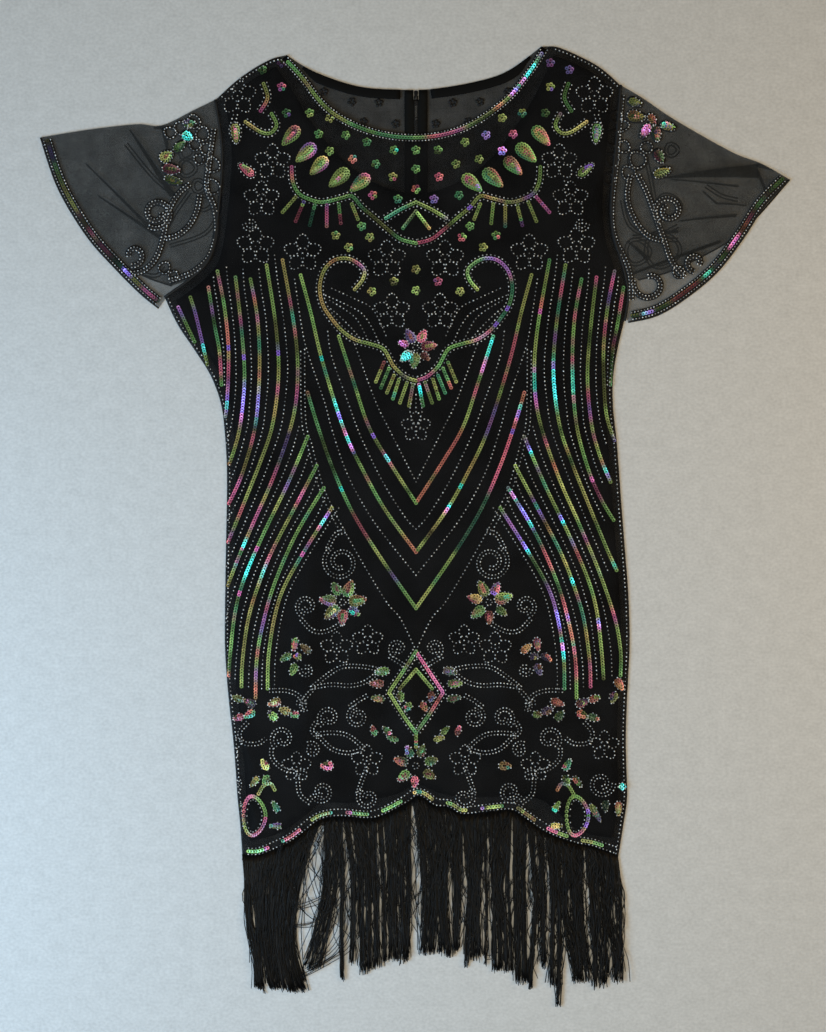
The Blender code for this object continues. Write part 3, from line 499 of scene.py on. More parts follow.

# Where the light catches the sequins: there they are tilted to face the cool light and lifted, and a bright
# flash colour is painted into their tint as a painted highlight. Columns: across, down, reach, flash colour
PAINTED_FLASH_SPOTS = (
    (138, 384, 25, 0), (-172, 404, 21, 1), (110, 516, 15, 1), (-78, 413, 15, 0), (73, 348, 12, 0),
    (111, 74, 14, 0), (-164, 568, 15, 0), (-67, 441, 12, 1), (143, 618, 10, 1), (147, 649, 11, 0),
    (101, 413, 9, 1), (195, 470, 9, 0), (97, 92, 6, 2), (-228, 136, 7, 0), (31, 508, 6, 0),
    (110, 548, 7, 0), (98, 495, 6, 0), (-170, 544, 6, 0), (147, 519, 6, 1), (4, 390, 7, 2),
    (230, 309, 7, 1), (-211, 349, 5, 0), (228, 129, 6, 2), (-94, 520, 10, 2), (184, 624, 6, 2),
    (204, 786, 6, 0), (158, 580, 5, 0), (202, 562, 6, 0), (248, 121, 6, 0), (288, 271, 6, 0),
    (-288, 272, 6, 1), (319, 243, 9, 2), (-18, 346, 8, 2), (-11, 358, 7, 0), (66, 368, 6, 2),
    (84, 151, 8, 2), (-29, 459, 4, 0), (115, 450, 5, 0),
)


def place(table):
    """Garment points, given as across and down, in the part's own frame."""
    rows = np.asarray(table, float)
    return np.column_stack((rows[:, 0] + ACROSS_SHIFT, HALF_LENGTH - rows[:, 1]))


def chart(table, side=1):
    """Chart points of one half, on the side asked for, in the part's own frame."""
    rows = np.asarray(table, float)
    return place(np.column_stack((side * rows[:, 0], rows[:, 1] - CHART_DROP)))


def even(points, step):
    """A polyline's points at an even spacing close to step, with both ends kept."""
    spans = np.linalg.norm(np.diff(points, axis=0), axis=1)
    lengths = np.concatenate(([0.0], np.cumsum(spans)))
    count = max(1, round(lengths[-1] / step))
    where = np.linspace(0.0, lengths[-1], count + 1)
    return np.column_stack([np.interp(where, lengths, points[:, axis]) for axis in (0, 1)])


def smooth(knots, step):
    """Points at an even spacing on the smooth curve through the knots."""
    knots = np.asarray(knots, float)
    before = np.vstack((knots[:1], knots[:-2]))
    start = knots[:-1]
    end = knots[1:]
    after = np.vstack((knots[2:], knots[-1:]))
    part = (np.arange(CURVE_PARTS) / CURVE_PARTS)[None, :, None]
    square = part * part
    cube = square * part
    fine = (
        start[:, None] * (2 * cube - 3 * square + 1)
        + end[:, None] * (3 * square - 2 * cube)
        + ((end - before) * 0.5)[:, None] * (cube - 2 * square + part)
        + ((after - start) * 0.5)[:, None] * (cube - square)
    )
    return even(np.vstack((fine.reshape(-1, 2), knots[-1:])), step)


def edge(table, step=EDGE_STEP):
    """The smooth edge through a table of across and down."""
    return smooth(place(table), step)


def body_ring(neck, hem):
    """The body's closed outline, and the name of the edge that starts at each of its points."""
    last_left = hem[0][1] - CORNER_CLEAR
    last_right = hem[-1][1] - CORNER_CLEAR
    left_rows = tuple((left, down) for down, left, right in BODY_SIDES if down < last_left)
    right_rows = tuple((right, down) for down, left, right in BODY_SIDES if down < last_right)
    edges = (
        ("neck", edge(neck)[::-1]),
        ("shoulder", edge((neck[0],) + SHOULDER_LEFT[1:])),
        ("armhole", edge(ARMHOLE_LEFT)),
        ("side", edge((ARMHOLE_LEFT[-1],) + left_rows + (hem[0],), 2.0 * EDGE_STEP)),
        ("hem", edge(hem, OUTLINE_STEP)),
        ("side", edge((ARMHOLE_RIGHT[-1],) + right_rows[1:] + (hem[-1],), 2.0 * EDGE_STEP)[::-1]),
        ("armhole", edge(ARMHOLE_RIGHT)[::-1]),
        ("shoulder", edge(SHOULDER_RIGHT[:-1] + (neck[-1],))),
    )
    ring = np.vstack([points[:-1] for name, points in edges])
    names = [name for name, points in edges for point in points[:-1]]
    return ring, names


def inset_ring(ring, names, insets):
    """The outline with each edge moved inwards by its own distance and met again at the corners."""
    result = []
    count = len(ring)
    for index in range(count):
        here = Vector(ring[index])
        before = (here - Vector(ring[index - 1])).normalized()
        after = (Vector(ring[(index + 1) % count]) - here).normalized()
        in_before = Vector((-before.y, before.x))
        in_after = Vector((-after.y, after.x))
        move_before = insets[names[index - 1]]
        move_after = insets[names[index]]
        turn = before.x * after.y - before.y * after.x
        if abs(turn) < STRAIGHT_TURN:
            result.append(here + in_after * (move_before + move_after) * 0.5)
            continue
        start = in_before * move_before
        along = (in_after * move_after - start).cross(after) / before.cross(after)
        result.append(here + start + before * along)
    return np.array(result)


def fine_ring(ring, names, step=OUTLINE_STEP):
    """The outline made smooth and finely spaced between its corners."""
    count = len(ring)
    corners = [index for index in range(count) if names[index] != names[index - 1]]
    parts = []
    for number, first in enumerate(corners):
        last = corners[(number + 1) % len(corners)]
        span = (last - first) % count
        knots = ring[[(first + offset) % count for offset in range(span + 1)]]
        parts.append(smooth(knots, step)[:-1])
    return np.vstack(parts)


def closed(ring):
    """The outline with its first point again at its end."""
    return np.vstack((ring, ring[:1]))


def line_distance(points, line):
    """Distance of each point to a polyline."""
    best = np.full(len(points), 1e9)
    for start, along in zip(line[:-1], np.diff(line, axis=0)):
        part = np.clip(((points - start) @ along) / max(along @ along, 1e-12), 0.0, 1.0)
        away = points - start - part[:, None] * along
        best = np.minimum(best, np.hypot(away[:, 0], away[:, 1]))
    return best


def inside(points, ring):
    """Whether each point lies within a closed outline."""
    result = np.zeros(len(points), bool)
    for (ax, ay), (bx, by) in zip(ring, np.roll(ring, -1, axis=0)):
        if ay == by:
            continue
        crosses = (ay > points[:, 1]) != (by > points[:, 1])
        x = ax + (points[:, 1] - ay) * (bx - ax) / (by - ay)
        result ^= crosses & (points[:, 0] < x)
    return result


def shifted(points, distance):
    """A polyline moved sideways by a distance, to the left of its direction."""
    along = np.gradient(points, axis=0)
    along /= np.maximum(np.linalg.norm(along, axis=1), 1e-9)[:, None]
    return points + distance * np.column_stack((-along[:, 1], along[:, 0]))


def fold_rise(rows, points):
    """How far the soft folds or creases in a table raise the cloth at each point."""
    height = np.zeros(len(points))
    for across_top, down_top, across_bottom, down_bottom, half_width, rise in rows:
        top, bottom = place(((across_top, down_top), (across_bottom, down_bottom)))
        along = bottom - top
        part = ((points - top) @ along) / (along @ along)
        away = points - top - part[:, None] * along
        distance = np.hypot(away[:, 0], away[:, 1]) / half_width
        shape = np.sin(math.pi * np.clip(part, 0.0, 1.0)) * np.exp(-distance * distance)
        height += rise * shape
    return height


def ripple(points, size, seed):
    """Slight unevenness of laid cloth, about one unit high, with waves of about the given size."""
    rng = np.random.default_rng(seed)
    height = np.zeros(len(points))
    for number in range(7):
        angle = rng.uniform(0.0, math.pi)
        wave = size * rng.uniform(0.6, 1.7)
        turn = 2.0 * math.pi * (points @ np.array((math.cos(angle), math.sin(angle)))) / wave
        height += np.sin(turn + rng.uniform(0.0, 6.3)) / 7.0
    return height


def ease(value):
    """Smooth step from 0 to 1."""
    part = np.clip(value, 0.0, 1.0)
    return part * part * (3.0 - 2.0 * part)


def linear(colour):
    """A colour given in 0 to 255 values as the shader needs it."""
    share = np.asarray(colour, float) / 255.0
    return np.where(share <= 0.04045, share / 12.92, ((share + 0.055) / 1.055) ** 2.4)


body_outline, body_names = body_ring(NECK_FRONT, HEM)
front_insets = {"neck": BINDING_FRONT + GAP, "shoulder": 0.0, "armhole": 0.0, "side": 0.0, "hem": 0.0}
front_ring = fine_ring(inset_ring(body_outline, body_names, front_insets), body_names)
neck_line = edge(NECK_FRONT, 6.0)
hem_line = edge(HEM, 3.0)


def neck_lift(points):
    """How far the front's neck edge stands up between the shoulders."""
    return NECK_LIFT * ease((LIFT_START - np.abs(points[:, 0] - ACROSS_SHIFT)) / (LIFT_START - LIFT_END))


def front_level(points):
    """Height of the front net's upper side."""
    from_edge = line_distance(points, closed(front_ring))
    from_neck = line_distance(points, neck_line)
    low = FRONT_EDGE_LEVEL + neck_lift(points) * (1.0 - ease((from_neck - 6.0) / 12.0))
    rest = FRONT_LEVEL + fold_rise(FRONT_FOLDS, points) + fold_rise(FRONT_CREASES, points)
    rest += 0.5 * ripple(points, 60.0, 3) + 0.22 * ripple(points, 19.0, 4)
    return low + (rest - low) * ease(from_edge / FRONT_RIM)


def neck_level(points):
    """Height of the neck binding's upper side."""
    return BINDING_LEVEL + BINDING_HALF_HEIGHT + neck_lift(points)


def sleeve_level(points, top, armhole):
    """Height of a sleeve's upper layer."""
    clear = np.minimum(line_distance(points, top), line_distance(points, armhole)) / EDGE_STEP
    rise = fold_rise(SLEEVE_FOLDS, points) + fold_rise(SLEEVE_CREASES, points)
    rise += 0.5 + 0.5 * ripple(points, 34.0, 5)
    return SLEEVE_UPPER + np.clip(clear, 0.0, 1.0) * rise


def back_level(points):
    """Height of the back net's upper side."""
    return BACK_NET_LEVEL + 0.1 * ripple(points, 70.0, 6)


def fill_outline(ring, step):
    """Points and triangles that fill a closed outline, with the outline's own points first."""
    low = ring.min(axis=0)
    high = ring.max(axis=0)
    xs = np.arange(low[0] + 0.5 * step, high[0], step)
    ys = np.arange(low[1] + 0.5 * step, high[1], step)
    grid = np.stack(np.meshgrid(xs, ys), axis=-1)
    grid[1::2, :, 0] += 0.5 * step
    grid = grid.reshape(-1, 2)
    keep = inside(grid, ring) & (line_distance(grid, closed(ring)) > 0.55 * step)
    points = np.vstack((ring, grid[keep]))
    count = len(ring)
    border = [(index, (index + 1) % count) for index in range(count)]
    found = delaunay_2d_cdt([Vector(point) for point in points.tolist()], border, [], 1, 1e-4)
    names = [first[0] for first in found[3]]
    triangles = np.array([[names[corner] for corner in face] for face in found[2]], int)
    first, second, third = (points[triangles[:, corner]] for corner in range(3))
    area = np.cross(second - first, third - first)
    triangles[area < 0] = triangles[area < 0][:, ::-1]
    return points, triangles


def shoelace(ring):
    """Area within a closed outline."""
    after = np.roll(ring, -1, axis=0)
    return abs(np.sum(ring[:, 0] * after[:, 1] - ring[:, 1] * after[:, 0])) * 0.5


def add_piece(name, points, faces, material, slot, body=GARMENT, flat=False):
    """A piece from points in millimetres and arrays of faces, each array with one corner count."""
    arrays = [np.asarray(part, np.int32) for part in faces]
    corners = np.concatenate([part.ravel() for part in arrays])
    counts = np.concatenate([np.full(len(part), part.shape[1]) for part in arrays])
    starts = np.concatenate(([0], np.cumsum(counts)[:-1])).astype(np.int32)
    mesh = bpy.data.meshes.new(name)
    mesh.vertices.add(len(points))
    mesh.vertices.foreach_set("co", (np.asarray(points) * MM).astype(np.float32).ravel())
    mesh.loops.add(len(corners))
    mesh.loops.foreach_set("vertex_index", corners)
    mesh.polygons.add(len(counts))
    mesh.polygons.foreach_set("loop_start", starts)
    mesh.update(calc_edges=True)
    if flat:
        mesh.shade_flat()
    else:
        mesh.shade_smooth()
    mesh.materials.append(material)
    obj = bpy.data.objects.new(name, mesh)
    bpy.context.scene.collection.objects.link(obj)
    if slot:
        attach(obj, body)
    return obj


def thicken(obj, thickness):
    """Gives a cloth surface its thickness, below the side that faces out."""
    wall = obj.modifiers.new("cloth", "SOLIDIFY")
    wall.thickness = thickness * MM
    wall.offset = -1.0
    return obj


def paint(obj, name, values):
    """A value or colour for each point of a piece."""
    if np.ndim(values) == 1:
        attribute = obj.data.attributes.new(name, "FLOAT", "POINT")
        attribute.data.foreach_set("value", np.asarray(values, np.float32))
        return
    rows = np.column_stack((values, np.ones(len(values)))).astype(np.float32)
    attribute = obj.data.color_attributes.new(name, "FLOAT_COLOR", "POINT")
    attribute.data.foreach_set("color", rows.ravel())


def sweep(paths, profile, widths=None):
    """Tubes along paths of equally many points; profile gives their section, sideways and up."""
    paths = np.asarray(paths, float)
    profile = np.asarray(profile, float)
    tubes, stations, _ = paths.shape
    around = len(profile)
    along = np.gradient(paths, axis=1)[..., :2]
    along /= np.maximum(np.linalg.norm(along, axis=2, keepdims=True), 1e-9)
    aside = np.stack((along[..., 1], -along[..., 0]), axis=-1)
    scale = np.ones((tubes, stations)) if widths is None else np.broadcast_to(widths, (tubes, stations))
    points = np.repeat(paths[:, :, None, :], around, axis=2)
    reach = scale[:, :, None] * profile[:, 0]
    points[..., :2] += reach[..., None] * aside[:, :, None, :]
    points[..., 2] += scale[:, :, None] * profile[:, 1]
    base = (np.arange(tubes) * stations * around)[:, None, None]
    station = (np.arange(stations - 1) * around)[None, :, None]
    corner = np.arange(around)[None, None, :]
    after = (corner + 1) % around
    first = base + station
    quads = np.stack(np.broadcast_arrays(
        first + corner, first + after, first + around + after, first + around + corner), axis=-1)
    starts = base[:, 0, :] + corner[0][:, ::-1]
    ends = base[:, 0, :] + (stations - 1) * around + corner[0]
    return points.reshape(-1, 3), [quads.reshape(-1, 4), starts, ends]


def join_tubes(parts):
    """Several sweeps as one set of points and faces."""
    points = []
    faces = []
    total = 0
    for part_points, part_faces in parts:
        points.append(part_points)
        faces.extend([group + total for group in part_faces])
        total += len(part_points)
    return np.vstack(points), faces


def ring_profile(half_width, half_height, corners):
    """A round or flattened section, running so that the tube's faces point out."""
    angles = -2.0 * math.pi * np.arange(corners) / corners
    return np.column_stack((half_width * np.cos(angles), half_height * np.sin(angles)))


def turned_ring():
    """A cupped sequin with its hole: three loops of points and the quads between them."""
    sides = 8
    loops = ((SEQUIN_HOLE, 0.16), (SEQUIN_RADIUS, 0.32), (0.6 * SEQUIN_RADIUS, 0.0))
    angles = 2.0 * math.pi * np.arange(sides) / sides
    points = [(r * math.cos(a), r * math.sin(a), z) for r, z in loops for a in angles]
    quads = []
    for loop in range(3):
        for corner in range(sides):
            after = (corner + 1) % sides
            low = loop * sides
            high = ((loop + 1) % 3) * sides
            quads.append((low + corner, high + corner, high + after, low + after))
    return np.array(points), np.array(quads)


def lens(radius, height, sides):
    """A small pointed disc."""
    angles = 2.0 * math.pi * np.arange(sides) / sides
    rim = np.column_stack((radius * np.cos(angles), radius * np.sin(angles), np.zeros(sides)))
    points = np.vstack((rim, ((0.0, 0.0, height), (0.0, 0.0, -height))))
    after = (np.arange(sides) + 1) % sides
    here = np.arange(sides)
    top = np.column_stack((here, after, np.full(sides, sides)))
    bottom = np.column_stack((after, here, np.full(sides, sides + 1)))
    return points, np.vstack((top, bottom))


def bead_shape():
    """A seed bead: a five sided barrel with domed ends."""
    sides = 5
    angles = 2.0 * math.pi * np.arange(sides) / sides
    rows = ((-0.85, 0.5), (0.0, 1.0), (0.85, 0.5))
    rings = [
        (BEAD_RADIUS * along, BEAD_RADIUS * size * math.cos(a), BEAD_RADIUS * size * math.sin(a))
        for along, size in rows
        for a in angles
    ]
    quads = []
    for row in range(2):
        for corner in range(sides):
            after = (corner + 1) % sides
            low = row * sides
            quads.append((low + corner, low + after, low + sides + after, low + sides + corner))
    points = np.array(rings + [(-BEAD_RADIUS, 0.0, 0.0), (BEAD_RADIUS, 0.0, 0.0)])
    tips = []
    for corner in range(sides):
        after = (corner + 1) % sides
        tips.append((after, corner, 3 * sides))
        tips.append((2 * sides + corner, 2 * sides + after, 3 * sides + 1))
    return points, [np.array(quads)[:, ::-1], np.array(tips)[:, ::-1]]


def stamp(shape, faces, rows, heights, slope=0.0, sizes=1.0, under=False, tilts=None):
    """Copies of a small shape at rows of x, y and turn, each leaning along its row."""
    count = len(rows)
    points = np.repeat(shape[None], count, axis=0) * np.reshape(sizes, (-1, 1, 1))
    points[..., 2] += np.reshape(slope, (-1, 1)) * points[..., 0]
    if under:
        points[..., 2] *= -1.0
    cosine = np.cos(rows[:, 2])[:, None]
    sine = np.sin(rows[:, 2])[:, None]
    placed = np.empty_like(points)
    placed[..., 0] = cosine * points[..., 0] - sine * points[..., 1]
    placed[..., 1] = sine * points[..., 0] + cosine * points[..., 1]
    placed[..., 2] = heights[:, None] + points[..., 2]
    if tilts is not None:
        placed[..., 2] += tilts[:, 0:1] * placed[..., 0] + tilts[:, 1:2] * placed[..., 1]
    placed[..., :2] += rows[:, None, :2]
    offsets = (np.arange(count) * len(shape))[:, None, None]
    groups = []
    for group in faces:
        group = group[:, ::-1] if under else group
        groups.append((group[None] + offsets).reshape(-1, group.shape[1]))
    return placed.reshape(-1, 3), groups


def with_turns(points):
    """Rows of x, y and the direction of the line at each point."""
    along = np.gradient(points, axis=0) if len(points) > 1 else np.array(((1.0, 0.0),))
    return np.column_stack((points, np.arctan2(along[:, 1], along[:, 0])))


def half_lines(table, step):
    """A half chart line on both sides; the point on the centre line is used once."""
    lines = []
    for side in (-1, 1):
        points = smooth(chart(table, side), step)
        if side == 1 and abs(points[-1, 0] - ACROSS_SHIFT) < 1.0:
            points = points[:-1]
        if side == 1 and abs(points[0, 0] - ACROSS_SHIFT) < 1.0:
            points = points[1:]
        lines.append(points)
    return lines


def oval(centre, length, width, lean, step):
    """Points round an oval."""
    count = max(3, round(math.pi * (0.5 * (length + width)) / step))
    angles = 2.0 * math.pi * np.arange(count) / count
    along = 0.5 * length * np.cos(angles)
    across = 0.5 * width * np.sin(angles) * (1.0 - 0.25 * np.cos(angles))
    x = centre[0] + along * math.cos(lean) - across * math.sin(lean)
    y = centre[1] + along * math.sin(lean) + across * math.cos(lean)
    return np.column_stack((x, y))


def leaf_ring(centre, length, width, lean, step):
    """Points round a leaf with its tip towards the lean."""
    turns = 2.0 * math.pi * np.arange(72) / 72.0
    along = 0.5 * length * np.cos(turns)
    across = 0.5 * width * np.sin(turns) * (0.82 - 0.42 * np.cos(turns)) * 1.15
    x = centre[0] + along * math.cos(lean) - across * math.sin(lean)
    y = centre[1] + along * math.sin(lean) + across * math.cos(lean)
    return even(closed(np.column_stack((x, y))), step)[:-1]


def spiral(centre, radius, turns, start, side, step):
    """Points on a curl that winds in to its centre."""
    angles = np.linspace(0.0, 2.0 * math.pi * turns, 60)
    reach = radius * (1.0 - 0.68 * (angles / angles[-1]) ** 1.2 * min(1.0, abs(turns)))
    way = start + angles
    points = np.column_stack((side * reach * np.cos(way), -reach * np.sin(way)))
    return even(points + centre, step)


def clover(centre, size, loops, step):
    """Points of bead loops set round a centre, and the centre itself."""
    found = [np.array([centre])]
    for number in range(loops):
        angle = 2.0 * math.pi * number / loops + 0.5 * math.pi
        middle = centre + 0.31 * size * np.array((math.cos(angle), math.sin(angle)))
        found.append(oval(middle, 0.38 * size, 0.33 * size, angle, step))
    return found


class Embroidery:
    """Rows of sequins and beads, collected line by line."""

    def __init__(self, seed):
        self.rng = np.random.default_rng(seed)
        self.sequins = []
        self.tints = []
        self.beads = []
        self.threads = []

    def sequin_line(self, points, hues=COOL_HUES, dim=0.0):
        """A row of overlapping sequins whose colour changes in stretches along it, each stretch also painted
        brighter or darker as a painted reflection, darker where dim is higher.
        """
        count = len(points)
        if count < 1:
            return
        self.sequins.append(with_turns(points))
        rng = self.rng
        main = rng.choice(hues[:3])
        stretch = np.cumsum(rng.random(count) < STRETCH_SHARE)
        total = stretch[-1] + 1
        own = np.where(rng.random(total) < 0.5, main + rng.normal(0.0, 0.05, total), rng.choice(hues, total))
        hue = np.mod(own[stretch] + rng.normal(0.0, 0.03, count), 1.0)
        cycle = np.array(IRIDESCENCE, float)
        colour = np.column_stack([np.interp(hue, cycle[:, 0], cycle[:, part]) for part in (1, 2, 3)])
        # Painted reflection: each stretch's tint is scaled brighter or darker, some stretches much darker, for
        # the light the sequins reflect
        light = np.exp(rng.normal(-0.04 - 0.35 * dim, 0.24 + 0.3 * dim, total))
        light = np.where(rng.random(total) < 0.1 + 0.4 * dim, 0.3 * light, light)
        tints = linear(colour) * (SEQUIN_GAIN * light[stretch] * np.exp(rng.normal(0.0, 0.17, count)))[:, None]
        for _ in range(2 if count > 8 else 0):
            around = np.vstack((tints[:1], tints, tints[-1:]))
            tints = 0.3 * around[:-2] + 0.4 * tints + 0.3 * around[2:]
        # Painted glints: a few sequins and their neighbours get a bright flash colour painted into their tint
        painted_glints = np.flatnonzero(rng.random(count) < PAINTED_GLINT_SHARE)
        painted_glints = np.concatenate((painted_glints, np.minimum(painted_glints + 1, count - 1)))
        tints[painted_glints] = linear(PAINTED_FLASH_COLOURS[int(rng.integers(3))])
        self.tints.extend(np.clip(tints, 0.0, 0.9))

    def bead_line(self, points, thread=0.0):
        """A row of beads, with the thread that carries them where it shows."""
        self.beads.append(with_turns(points))
        if thread and len(points) > 2:
            self.threads.append((points, thread))

    def bead_pair(self, points, thread=0.0):
        """Two rows of beads side by side on one band of threads."""
        for side in (-PAIR_HALF, PAIR_HALF):
            self.beads.append(with_turns(even(shifted(points, side), MOTIF_PITCH)))
        if thread and len(points) > 2:
            self.threads.append((points, thread))

    def edged_line(self, points):
        """A row of sequins between two rows of beads."""
        self.sequin_line(points)
        for side in (-EDGING, EDGING):
            self.bead_line(even(shifted(points, side), BEAD_PITCH))

    def petal(self, centre, length, width, lean, dim=0.6):
        """A small petal of sequins with beads round its tip."""
        self.sequin_line(leaf_ring(centre, length - 4.0, width - 3.6, lean, 2.7), WARM_HUES, dim)
        if length > 13.0:
            self.sequin_line(leaf_ring(centre, length - 9.0, 0.5, lean, 2.8), WARM_HUES, dim)
        outline = oval(centre, length + 0.6, width + 1.0, lean, MOTIF_PITCH)
        self.bead_line(outline[self.rng.random(len(outline)) < 0.7])

    def leaf(self, centre, length, width, lean):
        """A leaf filled with rings of sequins."""
        for reach in (3.6, 8.2):
            if width - reach > 0.0:
                self.sequin_line(leaf_ring(centre, length - reach, width - reach, lean, 2.75))
        self.sequin_line(leaf_ring(centre, max(3.0, length - 15.0), 0.6, lean, 2.9))

    def rosette(self, centre):
        """A ring of five sequins."""
        self.sequin_line(oval(centre, 5.6, 5.6, float(self.rng.uniform(0.0, 1.2)), 3.5))

    def curl(self, centre, radius, turns, start, side, thread=0.0):
        """A pair of bead rows that winds in."""
        self.bead_pair(spiral(centre, radius - PAIR_HALF, turns, start, side, MOTIF_PITCH), thread)

    def flower(self, centre, petals, radius, length, width):
        """Petals of slightly unlike size round a rosette."""
        for number in range(petals):
            angle = 2.0 * math.pi * (number + 0.5 + self.rng.uniform(-0.12, 0.12)) / petals + 0.5 * math.pi
            middle = centre + radius * np.array((math.cos(angle), math.sin(angle)))
            size = self.rng.uniform(0.78, 1.15)
            self.petal(middle, length * size, width * size, angle)
        self.bead_line(oval(centre, 6.0, 6.0, 0.0, MOTIF_PITCH))


def at_both_sides(rows, make):
    """Calls make with each row's centre and rest, mirrored unless it lies on the centre line."""
    for row in rows:
        for side in (1,) if row[0] == 0 else (1, -1):
            make(chart((row[:2],), side)[0], row[2:], side)


def stripe_beads(work):
    """A row of beads midway between each two stripes of sequins, and one inside the last."""
    for outer, inner in zip(STRIPES, STRIPES[1:]):
        outer_rows = np.array(outer, float)
        inner_rows = np.array(inner, float)
        top = max(outer_rows[0, 1], inner_rows[0, 1]) - 10.0
        downs = np.linspace(top, min(outer_rows[-1, 1], inner_rows[-1, 1]), 12)
        across = 0.5 * (
            np.interp(downs, outer_rows[:, 1], outer_rows[:, 0])
            + np.interp(downs, inner_rows[:, 1], inner_rows[:, 0])
        )
        for points in half_lines(np.column_stack((across, downs)), BEAD_PITCH):
            work.bead_line(points)
    last = np.array(STRIPES[-1], float) - (7.0, 0.0)
    for points in half_lines(last, BEAD_PITCH):
        work.bead_line(points)


def edge_beads(work):
    """A row of beads just inside the shoulders and sides."""
    insets = dict.fromkeys(("neck", "shoulder", "armhole", "side", "hem"), EDGE_BEADS)
    moved = inset_ring(body_outline, body_names, insets)
    for name in ("shoulder", "side"):
        chosen = [index for index in range(len(moved)) if body_names[index] == name]
        breaks = [0] + [n for n in range(1, len(chosen)) if chosen[n] != chosen[n - 1] + 1] + [len(chosen)]
        for first, last in zip(breaks, breaks[1:]):
            if last - first > 2:
                work.bead_line(smooth(moved[chosen[first:last]], BEAD_PITCH))


def lean_on(side, degrees):
    """A lean below the outward line, as a direction on the side asked for."""
    angle = -side * math.radians(degrees)
    return angle if side > 0 else angle + math.pi


def body_embroidery(work, back):
    """The pattern of a body panel."""
    for table in EDGED_LINES:
        for points in half_lines(table, SEQUIN_PITCH):
            work.edged_line(points)
    for table in (V_INNER, V_MIDDLE, V_OUTER, LASH_CHEVRON) + STRIPES + RAYS:
        for points in half_lines(table, SEQUIN_PITCH):
            work.sequin_line(points)
    for table in STRIPES_LEFT_ONLY:
        work.sequin_line(smooth(chart(table), SEQUIN_PITCH))
    for table in V_BEADS:
        for points in half_lines(table, BEAD_PITCH):
            work.bead_line(points)
    for table in DOUBLE_BEADS:
        for points in half_lines(table, MOTIF_PITCH):
            work.bead_pair(points)
    stripe_beads(work)
    edge_beads(work)
    at_both_sides(PETALS, lambda centre, row, side: work.petal(
        centre, *row[:2], lean_on(side, row[2])))
    at_both_sides(LEAVES + EDGED_LEAVES, lambda centre, row, side: work.leaf(
        centre, row[0], row[1], lean_on(side, row[2])))
    at_both_sides(EDGED_LEAVES, lambda centre, row, side: work.bead_line(oval(
        centre, row[0] + 3.0, row[1] + 3.0, lean_on(side, row[2]), MOTIF_PITCH)))
    at_both_sides(FLOWERS, lambda centre, row, side: work.flower(centre, *row))
    at_both_sides(SPIRALS, lambda centre, row, side: work.curl(
        centre, row[0], row[1], math.radians(row[2]), side))
    at_both_sides(CLOVERS, lambda centre, row, side: [
        work.bead_line(loop) for loop in clover(centre, row[0], row[1], MOTIF_PITCH + 0.4)])
    at_both_sides(ROSETTES_BACK_NECK + ROSETTES[10:] if back else ROSETTES,
                  lambda centre, row, side: work.rosette(centre))
    for side in (-1, 1):
        work.sequin_line(smooth(chart(SEQUIN_ARCH, side), SEQUIN_PITCH))
        across, down, length, width = SEQUIN_OVAL
        centre = chart(((across, down),), side)[0]
        work.sequin_line(oval(centre, width, length, 0.0, SEQUIN_PITCH))
        work.bead_line(oval(centre, width - 7.0, length - 7.0, 0.0, BEAD_PITCH))
    inner_hem = hem_line[2:-2]
    for inset in HEM_BEAD_INSETS:
        work.bead_line(even(shifted(inner_hem, inset), BEAD_PITCH - 0.4))
    dashes = even(shifted(inner_hem, HEM_DASH_INSET), SEQUIN_PITCH)
    for start in range(0, len(dashes), HEM_DASH_EVERY):
        work.sequin_line(dashes[start:start + HEM_DASH_LONG])


def sleeve_embroidery(work, label, hem):
    """The pattern of one sleeve's upper layer."""
    inward = -1.0 if label == "right" else 1.0
    middle = shifted(hem, inward * SLEEVE_HEM_SEQUINS)[1:-1]
    work.sequin_line(even(middle, SEQUIN_PITCH), COOL_HUES, 0.8)
    for distance in SLEEVE_HEM_BEADS:
        work.bead_line(even(shifted(hem, inward * distance)[1:-1], MOTIF_PITCH), 1.4)
    work.threads.append((even(middle, 4.0), 3.2))
    side = -1 if label == "left" else 1
    for table in SLEEVE_LINES[label]:
        work.bead_pair(smooth(chart(table), MOTIF_PITCH), SLEEVE_BAND)
    for across, down, radius, turns, start in SLEEVE_SPIRALS[label]:
        work.curl(chart(((across, down),))[0], radius, turns, math.radians(start), side, SLEEVE_BAND)
    for across, down, length, width, lean in SLEEVE_PETALS[label]:
        centre = chart(((across, down),))[0]
        work.petal(centre, length, width, -math.radians(lean), 0.7)
        work.threads.append((closed(oval(centre, length - 1.0, width - 2.0, -math.radians(lean), 2.0)), 2.6))
    for across, down, size in SLEEVE_LOOPS[label]:
        lean = float(work.rng.uniform(0.0, 3.0))
        loop = oval(chart(((across, down),))[0], size, 0.9 * size, lean, MOTIF_PITCH)
        work.bead_line(loop)
        work.threads.append((closed(loop), 1.7))


def kept_rows(rows, ring, clear):
    """Which rows lie on the panel, clear of its edge."""
    points = rows[:, :2]
    return inside(points, ring) & (line_distance(points, closed(ring)) > clear)


def portions(name, count, pieces):
    """The name of each piece and its share of a number of rows."""
    for number in range(pieces):
        label = name if pieces == 1 else name + "_" + str(number + 1)
        yield label, slice(number * count // pieces, (number + 1) * count // pieces)


